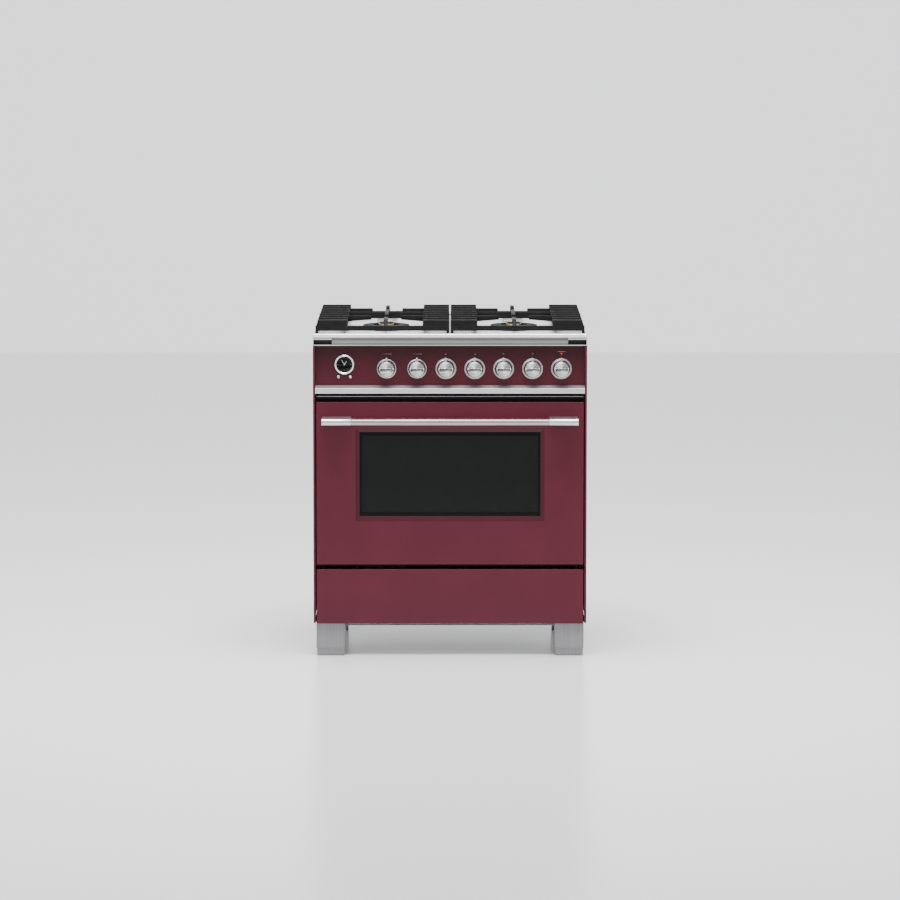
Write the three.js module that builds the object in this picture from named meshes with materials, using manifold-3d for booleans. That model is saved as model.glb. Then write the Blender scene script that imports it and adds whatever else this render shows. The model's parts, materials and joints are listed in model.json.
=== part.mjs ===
import * as THREE from "three";
import { mergeVertices } from "three/addons/utils/BufferGeometryUtils.js";
import Module from "manifold-3d";

const wasm = await Module();
wasm.setup();

// A freestanding gas range. Millimetres: X runs to the right, Y from the door's front face (0) to the
// back, Z up from the floor. The whole model is moved at the end so that its box is centred on X and Y.
const width = 759;
const backY = 640;
const handleReach = 65;
const sleeveRadius = 10;
const gap = 0.3;
const sheet = 1.5;

// Heights of the front, from the floor up.
const legTop = 91.2;
const baseTop = 94;
const drawerBottom = 91.5;
const drawerTop = 242.5;
const doorBottom = 256.5;
const doorTop = 710;
const railBottom = 734;
const panelBottom = 755.3;
const panelTop = 865.6;
const channelFloor = 869;
const hobFrameBottom = 882.7;
const hobFrameTop = 888.6;
const trayBottom = 889.2;
const hobSurface = 894;
const hobRim = 899.4;

// Depths and half-widths.
const flangeInnerX = 373.6;
const panelHalf = flangeInnerX - 0.4;
const doorHalf = 370.5;
const panelY = 20;
const frameY = 46;
const channelBackY = 44;
const trayBackY = 612;
const backPanelY = 628;
const shellTop = hobFrameBottom - gap;
const plateY = 3;

// Door, its window and its hinge line.
const doorSkinDepth = 19.8;
const linerY = doorSkinDepth + 0.5;
const linerBackY = 40;
const windowOuter = { halfX: 261.8, z0: 378.3, z1: 637.6 };
const windowInner = { halfX: 250.7, z0: 391.7, z1: 625.9 };
const windowDepth = 6.5;
const hinge = { y: 20, z: 268, x: 330, pinRadius: 4 };
const handle = { z: 661, radius: 8.65, innerX: 274, outerX: 354, socket: 36, standHalf: 9 };
const liner = { halfX: 366, z0: 260, z1: 706, wall: 2 };
const plug = { halfX: 285, z0: 315, z1: 675 };
const sight = { halfX: 235, z0: 410, z1: 608 };

// Oven.
const oven = { halfX: 300, z0: 300, z1: 690, backY: 500, corner: 22, wall: 2 };
const rackLevels = [416, 536];
const rack = { halfX: 295, front: 76, back: 486, rim: 6, backBar: 16, wirePitch: 48, wires: 11 };
const ribs = { innerX: 288, front: 70, back: 490, thickness: 4 };
const fan = { z: 495, radius: 130, face: 490, slots: 8 };
const seal = { halfX: 312, z0: 288, z1: 702, corner: 30, width: 8 };

// Controls: the first two dials set the oven, the other five work gas valves.
const dialZ = 801;
const dialX = [-175.6, -91.4, -11.4, 68.6, 148.6, 228.6, 308.6];
const dialNames = [
  "oven_function_knob",
  "oven_temperature_knob",
  "burner_knob_1",
  "burner_knob_2",
  "burner_knob_3",
  "burner_knob_4",
  "oven_gas_knob",
];
const ovenDials = 2;
const knob = { radius: 21, front: -15, back: 15, tabReach: 31, tabHalf: 3, bore: 3.5, stem: 3 };
const clock = { x: -292.6, z: 813, radius: 28, face: 22.2 };
const buttons = { x: [-309.2, -276], z: 778.5, radius: 4 };

// Hob.
const insertHalf = 327;
const burnerX = 179;
const frontBurnerY = 211;
const rearBurnerY = 474;
const burnerStem = { front: 40, rear: 24 };
const gasRail = { y: 92, inletX: 352, radius: 9, valveHalf: 12, valveY: 52 };
const legPlaces = { front: 3, rear: 460 };
const legSize = { innerX: 292, outerX: 372, depth: 60, sleeveBottom: 20, footTop: 22, inset: 1.7 };
const drawerBoxSize = { halfX: 350, y0: doorSkinDepth + 0.5, y1: 500, z0: 102, z1: 235, wall: 2 };
const runner = { front: 42, back: 560, z0: 150, z1: 168, gap: 3, thickness: 14 };
const grate = {
  inner: 2,
  outer: 374,
  front: 60,
  back: 606,
  base: 903,
  low: 914,
  top: 932.5,
  innerRail: [62, 76],
  outerRail: [286, 300],
  bar: 8,
  bars: 9,
  slant: 6,
  tipGap: 42,
};

const finish = {
  enamel: material(0x6e343f, 0.32, 0.1),
  steel: material(0xc4c4c6, 0.3, 0.95),
  brightSteel: material(0xd8d8da, 0.15, 1),
  blackEnamel: material(0x17171a, 0.35, 0.2),
  zincSheet: material(0x9a9da0, 0.5, 0.9),
  castIron: material(0x1b1b1c, 0.7, 0.3),
  brass: material(0xb08d4a, 0.35, 1),
  aluminium: material(0xb5b7ba, 0.4, 0.95),
  glass: material(0x1d201f, 0.06, 0),
  rubber: material(0x26262a, 0.9, 0),
  chrome: material(0xd0d2d5, 0.12, 1),
};

function material(color, roughness, metalness) {
  return new THREE.MeshStandardMaterial({ color, roughness, metalness });
}

// Geometry helpers.
function block(x0, x1, y0, y1, z0, z1) {
  const shape = new THREE.BoxGeometry(x1 - x0, y1 - y0, z1 - z0);
  return shape.translate((x0 + x1) / 2, (y0 + y1) / 2, (z0 + z1) / 2);
}

function roundX(radius, x0, x1, y, z, sides = 24) {
  const bar = new THREE.CylinderGeometry(radius, radius, x1 - x0, sides);
  return bar.rotateZ(Math.PI / 2).translate((x0 + x1) / 2, y, z);
}

function roundY(radius, y0, y1, x, z, sides = 24) {
  const bar = new THREE.CylinderGeometry(radius, radius, y1 - y0, sides);
  return bar.translate(x, (y0 + y1) / 2, z);
}

function roundZ(radius, z0, z1, x, y, sides = 32) {
  const bar = new THREE.CylinderGeometry(radius, radius, z1 - z0, sides);
  return bar.rotateX(Math.PI / 2).translate(x, y, (z0 + z1) / 2);
}

function outline(points) {
  return new THREE.Shape(points.map(([a, b]) => new THREE.Vector2(a, b)));
}

function extruded(shape, depth) {
  return new THREE.ExtrudeGeometry(shape, { depth, bevelEnabled: false, curveSegments: 4 });
}

// A Y-Z section carried along X, and an X-Z outline carried along Y.
function sweptX(points, x0, x1) {
  const turn = new THREE.Matrix4().set(0, 0, 1, x0, 1, 0, 0, 0, 0, 1, 0, 0, 0, 0, 0, 1);
  return extruded(outline(points), x1 - x0).applyMatrix4(turn);
}

function sweptY(shape, y0, y1) {
  const turn = new THREE.Matrix4().set(1, 0, 0, 0, 0, 0, -1, y1, 0, 1, 0, 0, 0, 0, 0, 1);
  return extruded(shape, y1 - y0).applyMatrix4(turn);
}

function rectangle(halfX, z0, z1, corner = 0) {
  const shape = new THREE.Shape();
  if (!corner) return outline([[-halfX, z0], [halfX, z0], [halfX, z1], [-halfX, z1]]);
  shape.absarc(halfX - corner, z0 + corner, corner, -Math.PI / 2, 0);
  shape.absarc(halfX - corner, z1 - corner, corner, 0, Math.PI / 2);
  shape.absarc(-halfX + corner, z1 - corner, corner, Math.PI / 2, Math.PI);
  shape.absarc(-halfX + corner, z0 + corner, corner, Math.PI, Math.PI * 1.5);
  return shape;
}

function withHole(shape, hole) {
  shape.holes.push(new THREE.Path(hole.getPoints(4)));
  return shape;
}

// Turned pieces: profile points are [radius, distance along the axis].
function turnedY(profile, x, z, segments = 32) {
  const points = profile.map(([r, y]) => new THREE.Vector2(r, y));
  return new THREE.LatheGeometry(points, segments).translate(x, 0, z);
}

function turnedZ(profile, x, y, segments = 32) {
  const points = profile.map(([r, z]) => new THREE.Vector2(r, z));
  return new THREE.LatheGeometry(points, segments).rotateX(Math.PI / 2).translate(x, y, 0);
}

// A slab whose front rectangle narrows to its back rectangle.
function tapered(front, frontY, back, backFaceY) {
  const shape = new THREE.BoxGeometry(2, backFaceY - frontY, 1);
  const at = shape.getAttribute("position");
  for (let i = 0; i < at.count; i++) {
    const face = at.getY(i) < 0 ? front : back;
    const z = at.getZ(i) < 0 ? face.z0 : face.z1;
    at.setXYZ(i, at.getX(i) * face.halfX, at.getY(i) + (frontY + backFaceY) / 2, z);
  }
  return shape;
}

function solidOf(geometry) {
  const bare = geometry.clone();
  bare.deleteAttribute("normal");
  bare.deleteAttribute("uv");
  const merged = mergeVertices(bare, 1e-4);
  const vertProperties = merged.getAttribute("position").array;
  const triVerts = new Uint32Array(merged.index.array);
  return new wasm.Manifold(new wasm.Mesh({ numProp: 3, vertProperties, triVerts }));
}

function geometryOf(solid) {
  const { vertProperties, triVerts } = solid.getMesh();
  const geometry = new THREE.BufferGeometry();
  geometry.setAttribute("position", new THREE.BufferAttribute(vertProperties, 3));
  geometry.setIndex(new THREE.BufferAttribute(triVerts, 1));
  geometry.computeVertexNormals();
  return geometry;
}

function joined(first, ...others) {
  return geometryOf(others.reduce((whole, piece) => whole.add(solidOf(piece)), solidOf(first)));
}

function cut(first, ...tools) {
  return geometryOf(tools.reduce((whole, tool) => whole.subtract(solidOf(tool)), solidOf(first)));
}

const range = new THREE.Group();

function add(name, geometry, surface) {
  const piece = new THREE.Mesh(geometry, surface);
  piece.name = name;
  range.add(piece);
  return piece;
}

// A right-hand piece and its mirror image on the left.
function addPair(name, geometry, surface) {
  add(name + "_right", geometry, surface);
  add(name + "_left", geometry, surface).scale.x = -1;
}

// Body shell.
function sidePanel() {
  const outer = width / 2;
  const notchTop = channelFloor - 3.1;
  const skin = sweptX(
    [
      [4, drawerBottom],
      [backY, drawerBottom],
      [backY, shellTop],
      [channelBackY + gap, shellTop],
      [channelBackY + gap, notchTop],
      [4, notchTop],
    ],
    outer - sheet,
    outer,
  );
  const flange = block(flangeInnerX, outer - 1, 4, 4 + sheet, drawerBottom, notchTop);
  const lip = block(flangeInnerX, flangeInnerX + sheet, 4, 18, drawerBottom, notchTop);
  const rearFlange = block(outer - 11, outer - 1, backY - sheet, backY, drawerBottom, shellTop);
  return joined(skin, flange, lip, rearFlange);
}

function backPanel() {
  const half = width / 2 - sheet - 0.4;
  const plate = block(-half, half, backPanelY, backPanelY + sheet, baseTop + 0.4, shellTop - 0.2);
  const [slotPitch, slotHalf, slotHeight] = [70, 25, 8];
  const [front, back] = [backPanelY - 1, backPanelY + 3];
  const slots = [];
  for (const row of [180, 740])
    for (let i = -4; i <= 4; i++) {
      const x = i * slotPitch;
      slots.push(block(x - slotHalf, x + slotHalf, front, back, row, row + slotHeight));
    }
  return cut(plate, ...slots, roundY(gasRail.radius + 8, front, back, gasRail.inletX, dialZ, 16));
}

function chassisBase() {
  const half = width / 2 - 2.5;
  return block(-half, half, panelY + 2, backY - 3, drawerBottom + gap, baseTop);
}

function frontFrame() {
  const opening = rectangle(oven.halfX, oven.z0, oven.z1, oven.corner);
  const border = rectangle(panelHalf - 0.7, drawerTop + sheet, railBottom - 0.5);
  const plate = sweptY(withHole(border, opening), frameY, frameY + plateY);
  const ventBlade = block(-doorHalf, doorHalf, 14, frameY + 1, doorTop + 13.6, doorTop + 15.6);
  return joined(plate, ventBlade);
}

function doorGasket() {
  const { halfX, z0, z1, corner, width: rope } = seal;
  const hole = rectangle(halfX - rope, z0 + rope, z1 - rope, corner - rope + 2);
  return sweptY(withHole(rectangle(halfX, z0, z1, corner), hole), linerBackY + gap, frameY - gap);
}

function ovenCavity() {
  const { halfX, z0, z1, corner, wall } = oven;
  const mouth = frameY + plateY + gap;
  const outside = rectangle(halfX + wall, z0 - wall, z1 + wall, corner + wall);
  const outer = sweptY(outside, mouth, oven.backY + wall);
  const inner = sweptY(rectangle(halfX, z0, z1, corner), mouth - 1, oven.backY);
  const shelves = rackLevels.flatMap((z) =>
    [-1, 1].map((side) => {
      const [a, b] = [side * ribs.innerX, side * (halfX + 1)].sort((p, q) => p - q);
      return block(a, b, ribs.front, ribs.back, z - ribs.thickness, z);
    }),
  );
  return joined(cut(outer, inner), ...shelves);
}

function ovenFanCover() {
  const { z, radius, face, slots } = fan;
  const back = oven.backY - gap;
  const profile = [[0, face], [radius - 12, face], [radius, face + 6], [radius, back], [0, back]];
  const slot = (i) => block(45, 100, face - 5, back + 5, -5, 5).rotateY((i * 2 * Math.PI) / slots);
  const cuts = Array.from({ length: slots }, (_, i) => slot(i).translate(0, 0, z));
  return cut(turnedY(profile, 0, z, 40), ...cuts);
}

// A wire shelf that rests on the side ribs.
function ovenRack(level) {
  const { halfX, front, back, rim, backBar, wirePitch, wires } = rack;
  const z = level + gap;
  const sideX = ribs.innerX;
  const bars = [
    block(-halfX, -sideX, front, back, z, z + rim),
    block(sideX, halfX, front, back, z, z + rim),
    block(-halfX, halfX, front, front + rim, z, z + rim),
    block(-halfX, halfX, back - rim, back, z, z + backBar),
  ];
  for (let i = 0; i < wires; i++) {
    const x = (i - (wires - 1) / 2) * wirePitch;
    bars.push(block(x - 2, x + 2, front + 1, back - 1, z + 1, z + rim - 1));
  }
  return joined(...bars);
}

function leg() {
  const { innerX, outerX, depth, sleeveBottom, footTop, inset } = legSize;
  const sleeve = block(innerX, outerX, 0, depth, sleeveBottom, legTop);
  const foot = block(innerX + inset, outerX - inset, inset, depth - inset, 0, footTop);
  return joined(sleeve, foot);
}

function drawerRunner() {
  const { front, back, z0, z1, thickness } = runner;
  const x = drawerBoxSize.halfX + runner.gap;
  return block(x, x + thickness, front, back, z0, z1);
}

// Hob.
function hobFrame() {
  const half = width / 2;
  const slab = block(-half, half, 1, backY, hobFrameBottom, hobFrameTop);
  const underside = block(5 - half, half - 5, 6, backY - 5, hobFrameBottom - 1, hobFrameTop - sheet);
  return cut(slab, underside, ...burnerWells(4, hobFrameBottom, hobFrameTop + 1));
}

// Round holes for the four burners, wider than their stems by the given clearance.
function burnerWells(clearance, z0, z1) {
  return [-burnerX, burnerX].flatMap((x) => [
    roundZ(burnerStem.front + clearance, z0, z1, x, frontBurnerY, 24),
    roundZ(burnerStem.rear + clearance, z0, z1, x, rearBurnerY, 24),
  ]);
}

function hobTray() {
  const half = width / 2;
  const round = 4;
  const slab = sweptX(
    [
      [0, trayBottom],
      [trayBackY, trayBottom],
      [trayBackY, hobRim],
      [round, hobRim],
      [round * 0.3, hobRim - round * 0.3],
      [0, hobRim - round],
    ],
    -half,
    half,
  );
  const [rimX, frontRim, backRim] = [half - 5, 9, trayBackY - 4.5];
  const pocket = block(-rimX, rimX, frontRim, backRim, hobSurface, hobRim + 1);
  const underside = block(-rimX, rimX, frontRim, backRim, trayBottom - 1, hobSurface - sheet);
  return cut(slab, pocket, underside, ...burnerWells(2, trayBottom, hobRim));
}

// Steel channel under the hob: a floor with end walls, and a satin insert between dark ends.
function hobVentChannel() {
  const half = width / 2;
  const [front, wall] = [6, 2];
  return joined(
    block(-half, half, front, channelBackY, channelFloor - 3, channelFloor),
    block(-half, wall - half, front, channelBackY, channelFloor - 1, shellTop),
    block(half - wall, half, front, channelBackY, channelFloor - 1, shellTop),
    block(-insertHalf, insertHalf, front + 8, front + 12, channelFloor - 1, shellTop),
  );
}

function rearVentTrim() {
  const half = width / 2;
  const [front, back, top] = [trayBackY + 2, backY, hobRim + 6];
  const shell = block(-half, half, front, back, trayBottom, top);
  const tools = [block(2 - half, half - 2, front + 2, back - 2, trayBottom - 1, top - 2)];
  const [slotPitch, slotHalf] = [54, 20];
  for (let i = -6; i <= 6; i++) {
    const x = i * slotPitch;
    tools.push(block(x - slotHalf, x + slotHalf, front + 11, front + 19, top - 3, top + 1));
  }
  return cut(shell, ...tools);
}

// Outlines run from the bottom on the axis, out, up and back to the axis.
function frontBurnerBody(x) {
  const profile = [
    [0, 868], [burnerStem.front, 868], [burnerStem.front, 894.3], [56, 894.3], [62, 899], [62, 904.7],
    [38, 904.7], [36, 900], [22, 900], [21, 911], [18.5, 911], [18.5, 914], [16, 916], [0, 916],
  ];
  return turnedZ(profile, x, frontBurnerY, 24);
}

function frontBurnerCap(x) {
  const profile = [[38, 905], [65.5, 905], [65.5, 907.5], [62, 909.5], [42, 909.5], [38, 908]];
  return turnedZ([...profile, profile[0]], x, frontBurnerY);
}

function rearBurnerBody(x) {
  const stem = burnerStem.rear;
  const profile = [[0, 868], [stem, 868], [stem, 894.3], [30.5, 894.3], [30.5, 906.7], [0, 906.7]];
  return turnedZ(profile, x, rearBurnerY, 24);
}

function rearBurnerCap(x) {
  return turnedZ([[0, 907], [29, 907], [29, 910], [26, 912.5], [0, 912.5]], x, rearBurnerY, 24);
}

// Cast pan support for one side: two ladders of cross bars joined by low rails, with fingers that
// point at the two burners.
function panSupport() {
  const { inner, outer, front, back, base, low, top, innerRail, outerRail, bar, tipGap } = grate;
  const half = bar / 2;
  const slantedEnd = (z) => [[outerRail[0], z], [outer, z], [outer - grate.slant, top], [outerRail[0], top]];
  const pieces = [
    block(inner, outer, front, front + bar, base, low),
    block(inner, outer, back - bar, back, base, low),
    block(inner, inner + bar, front, back, base, low),
    block(outer - bar, outer, front, back, base, low),
    block(...innerRail, front, back, base + 4, top),
    block(...outerRail, front, back, base + 4, top),
    block(inner, innerRail[1], front, front + bar, base, top),
    sweptY(outline(slantedEnd(base)), front, front + bar),
  ];
  const lastBar = back - half;
  const firstBar = front + 24;
  const barY = (i) => firstBar + ((lastBar - firstBar) * i) / (grate.bars - 1);
  for (let i = 0; i < grate.bars; i++) {
    pieces.push(block(inner, innerRail[1], barY(i) - half, barY(i) + half, low - 4, top));
    pieces.push(sweptY(outline(slantedEnd(low - 4)), barY(i) - half, barY(i) + half));
  }
  const [left, right] = [innerRail[1] - 2, outerRail[0] + 2];
  pieces.push(block(left, right, barY(4) - half, barY(4) + half, low, top));
  const fingers = [
    [left, burnerX - tipGap],
    [right, burnerX + tipGap],
  ];
  for (const i of [2, 6])
    for (const [root, tip] of fingers) {
      const side = orderX([[root, top - 16], [tip, top - 11], [tip, top], [root, top]]);
      pieces.push(sweptY(outline(side), barY(i) - half, barY(i) + half));
    }
  // Three fingers lie along the line of the burners: front, middle and back.
  const [x0, x1] = [burnerX - 5.5, burnerX + 5.5];
  const [nearTip, farTip] = [frontBurnerY - tipGap, rearBurnerY + tipGap];
  const nearFinger = [[front, base], [nearTip, top - 9], [nearTip, top], [front + 26, top], [front, low]];
  const farFinger = [[back, base], [back, low], [back - 26, top], [farTip, top], [farTip, top - 9]];
  pieces.push(
    sweptX(nearFinger, x0, x1),
    sweptX(farFinger, x0, x1),
    block(x0, x1, frontBurnerY + tipGap, rearBurnerY - tipGap, top - 10, top),
  );
  const footHalf = half - 0.2;
  for (const x of [inner + half, outer - half])
    for (const y of [front + half, (front + back) / 2, back - half]) {
      const [left, right] = [x - footHalf, x + footHalf];
      pieces.push(block(left, right, y - footHalf, y + footHalf, hobSurface + gap, base + 1));
    }
  return joined(...pieces);
}

// Lists an outline counter-clockwise, whichever way its points run.
function orderX(points) {
  return THREE.ShapeUtils.isClockWise(points.map(([a, b]) => new THREE.Vector2(a, b)))
    ? points.slice().reverse()
    : points;
}

// Controls.
function controlPanel() {
  const s = sheet;
  const back = channelBackY;
  const section = [
    [panelY, panelBottom], [back, panelBottom], [back, panelBottom + s], [panelY + s, panelBottom + s],
    [panelY + s, panelTop - s], [back, panelTop - s], [back, panelTop], [panelY, panelTop],
  ];
  const hole = (radius, x, z, sides) => roundY(radius, panelY - 1, panelY + 3, x, z, sides);
  const holes = [
    ...dialX.map((x) => hole(7, x, dialZ, 16)),
    hole(25, clock.x, clock.z, 32),
    ...buttons.x.map((x) => hole(buttons.radius + 0.5, x, buttons.z, 16)),
  ];
  return cut(sweptX(section, -panelHalf, panelHalf), ...holes);
}

function controlRail() {
  const s = sheet;
  const section = [
    [-4, railBottom], [34, railBottom], [34, railBottom + s], [s - 4, railBottom + s],
    [s - 4, 747], [20.4, 753.5], [34, 753.5], [34, 755], [20, 755], [-4, 748.2],
  ];
  return sweptX(section, -panelHalf, panelHalf);
}

function knobShape(x) {
  const { radius, front, back, tabReach, tabHalf, bore } = knob;
  const profile = [
    [0, front], [radius - 2.5, front], [radius - 1, front + 1.5], [radius, front + 22],
    [radius, back], [bore, back], [bore, -5], [0, -5],
  ];
  const tab = block(x - tabHalf, x + tabHalf, 7, 12.5, dialZ + radius - 4, dialZ + tabReach);
  return joined(turnedY(profile, x, dialZ, 24), tab);
}

function ovenDial(x) {
  return joined(knobShape(x), roundY(knob.bore + 0.5, -6, 44, x, dialZ, 16));
}

function valveStem(x) {
  return roundY(knob.stem, 0, 44.6, x, dialZ, 16);
}

// Gas rail: one valve behind each gas knob, fed by a pipe that leaves through the back panel.
function gasManifold() {
  const { y, inletX, radius, valveHalf, valveY } = gasRail;
  const valves = dialX.slice(ovenDials).flatMap((x) => [
    block(x - valveHalf, x + valveHalf, valveY, y, dialZ - 14, dialZ + 14),
    roundY(radius, valveY - 7, valveY + 1, x, dialZ, 12),
  ]);
  return joined(
    roundX(radius, dialX[ovenDials] - 24, inletX, y, dialZ, 12),
    ...valves,
    new THREE.SphereGeometry(radius + 2, 12, 8).translate(inletX, y, dialZ),
    roundY(radius, y, backY - 25, inletX, dialZ, 12),
    roundY(radius + 5, backY - 32, backY - 6, inletX, dialZ, 6),
    roundY(radius + 1, backY - 10, backY - 0.5, inletX, dialZ, 16),
  );
}

function clockBezel() {
  const r = clock.radius;
  const inner = clock.face + gap;
  const [neck, seat, back] = [24.5, panelY - gap, 30];
  const profile = [
    [inner, 14], [r - 2, 13], [r, 15.5], [r, seat], [neck, seat], [neck, back], [inner, back], [inner, 14],
  ];
  return turnedY(profile, clock.x, clock.z, 40);
}

function clockFace() {
  return roundY(clock.face, 17, 29, clock.x, clock.z, 40);
}

function clockButton(x) {
  const r = buttons.radius;
  const profile = [[0, 14.5], [r - 1, 14.8], [r, 16], [r, 24], [r + 2, 24], [r + 2, 25.5], [0, 25.5]];
  return turnedY(profile, x, buttons.z, 20);
}

// Door: pressed outer skin, glass behind its window, and a black pan with an inner glass.
function doorPanel() {
  const skin = cut(
    block(-doorHalf, doorHalf, 0, doorSkinDepth, doorBottom, doorTop),
    block(2 - doorHalf, doorHalf - 2, 2, doorSkinDepth + 1, doorBottom + 2, doorTop - 2),
  );
  const { halfX, z0, z1 } = windowOuter;
  const surround = block(-halfX - 4, halfX + 4, 1, windowDepth + 1.5, z0 - 4, z1 + 4);
  const bevel = tapered(windowOuter, 0, windowInner, windowDepth);
  const mouth = tapered(windowOuter, -1, windowOuter, 0.01);
  const hole = tapered(windowInner, windowDepth - 0.1, windowInner, doorSkinDepth);
  return cut(joined(skin, surround), bevel, mouth, hole, ...hingeSlots(9, doorBottom - 1, doorBottom + 4));
}

function hingeSlots(y, z0, z1) {
  return [-1, 1].map((side) => block(side * hinge.x - 15, side * hinge.x + 15, y, 60, z0, z1));
}

function windowGlass() {
  const { halfX, z0, z1 } = windowInner;
  const y = windowDepth + 1.8;
  return block(-halfX - 5, halfX + 5, y, y + 4, z0 - 5.7, z1 + 6.1);
}

function doorLiner() {
  const { halfX, z0, z1, wall } = liner;
  const pan = cut(
    block(-halfX, halfX, linerY, linerBackY, z0, z1),
    block(wall - halfX, halfX - wall, linerY - 1, linerBackY - wall, z0 + wall, z1 - wall),
  );
  const boss = block(-plug.halfX, plug.halfX, linerBackY - 1, frameY - 1, plug.z0, plug.z1);
  const hole = block(-sight.halfX, sight.halfX, linerBackY - 5, frameY, sight.z0, sight.z1);
  return cut(joined(pan, boss), hole, ...hingeSlots(linerY - 1, z0 - 1, z0 + 30));
}

function innerGlass() {
  const { halfX, z0, z1 } = sight;
  const back = linerBackY - liner.wall - gap;
  return block(-halfX - 10, halfX + 10, back - 4.2, back, z0 - 10, z1 + 10);
}

function doorHinge() {
  const { x, y, z, pinRadius } = hinge;
  const arm = block(x - 6, x + 6, y - 6, frameY - gap, z - 6, z + 6);
  return joined(arm, roundX(pinRadius, x - 12, x + 12, y, z, 16));
}

function handleBar() {
  const half = handle.innerX + handle.socket;
  return roundX(handle.radius, -half, half, -handleReach, handle.z, 32);
}

function handleBracket() {
  const { innerX, outerX, z, radius, socket, standHalf } = handle;
  const sleeve = roundX(sleeveRadius, innerX, outerX, -handleReach, z, 32);
  const stand = block(innerX, outerX, -handleReach, -gap, z - standHalf, z + standHalf);
  const socketHole = roundX(radius + gap, innerX - 1, innerX + socket + 1, -handleReach, z, 32);
  return cut(joined(sleeve, stand), socketHole);
}

// Drawer.
function drawerFront() {
  return cut(
    block(-doorHalf, doorHalf, 0, doorSkinDepth, drawerBottom, drawerTop),
    block(2 - doorHalf, doorHalf - 2, 2, doorSkinDepth + 1, drawerBottom + 2, drawerTop - 2),
  );
}

function drawerBox() {
  const { halfX, y0, y1, z0, z1, wall } = drawerBoxSize;
  return cut(
    block(-halfX, halfX, y0, y1, z0, z1),
    block(wall - halfX, halfX - wall, y0 + wall, y1 - wall, z0 + wall, z1 + 1),
  );
}

addPair("side_panel", sidePanel(), finish.enamel);
add("back_panel", backPanel(), finish.zincSheet);
add("chassis_base", chassisBase(), finish.zincSheet);
add("front_frame", frontFrame(), finish.blackEnamel);
add("door_gasket", doorGasket(), finish.rubber);
add("oven_cavity", ovenCavity(), finish.blackEnamel);
add("oven_fan_cover", ovenFanCover(), finish.blackEnamel);
add("oven_rack_lower", ovenRack(rackLevels[0]), finish.chrome);
add("oven_rack_upper", ovenRack(rackLevels[1]), finish.chrome);

for (const [place, y] of Object.entries(legPlaces)) {
  const shape = leg().translate(0, y, 0);
  add("leg_" + place + "_right", shape, finish.steel);
  add("leg_" + place + "_left", shape, finish.steel).scale.x = -1;
}

add("hob_frame", hobFrame(), finish.steel);
add("hob_tray", hobTray(), finish.brightSteel);
add("hob_vent_channel", hobVentChannel(), finish.steel);
add("rear_vent_trim", rearVentTrim(), finish.steel);
for (const [side, x] of [["left", -burnerX], ["right", burnerX]]) {
  add("burner_body_front_" + side, frontBurnerBody(x), finish.aluminium);
  add("burner_cap_front_" + side, frontBurnerCap(x), finish.castIron);
  add("burner_body_rear_" + side, rearBurnerBody(x), finish.aluminium);
  add("burner_cap_rear_" + side, rearBurnerCap(x), finish.castIron);
}
addPair("grate", panSupport(), finish.castIron);

add("control_panel", controlPanel(), finish.enamel);
add("control_rail", controlRail(), finish.steel);
add("gas_manifold", gasManifold(), finish.aluminium);
add("clock_bezel", clockBezel(), finish.brightSteel);
add("clock_face", clockFace(), finish.glass);
buttons.x.forEach((x, i) => add("clock_button_" + ["left", "right"][i], clockButton(x), finish.brightSteel));
dialX.forEach((x, i) => {
  const isGas = i >= ovenDials;
  add(dialNames[i], isGas ? knobShape(x) : ovenDial(x), finish.steel);
  if (isGas) add(dialNames[i].replace("knob", "valve_stem"), valveStem(x), finish.brass);
});

add("door_panel", doorPanel(), finish.enamel);
add("window_glass", windowGlass(), finish.glass);
add("door_liner", doorLiner(), finish.blackEnamel);
add("inner_glass", innerGlass(), finish.glass);
addPair("door_hinge", doorHinge(), finish.zincSheet);
add("handle_bar", handleBar(), finish.steel);
addPair("handle_bracket", handleBracket(), finish.steel);

add("drawer_front", drawerFront(), finish.enamel);
add("drawer_box", drawerBox(), finish.zincSheet);
addPair("drawer_runner", drawerRunner(), finish.zincSheet);

// The frontmost point is the handle's sleeve, so this puts the middle of the depth on the origin.
const frontY = -handleReach - sleeveRadius;
range.position.y = -(frontY + backY) / 2;

const model = new THREE.Group();
model.add(range);

export default model;
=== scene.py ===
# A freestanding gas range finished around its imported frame. Metres, Z up, the front faces -Y.
import json
import math

import bpy
from mathutils import Matrix, Vector

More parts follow.
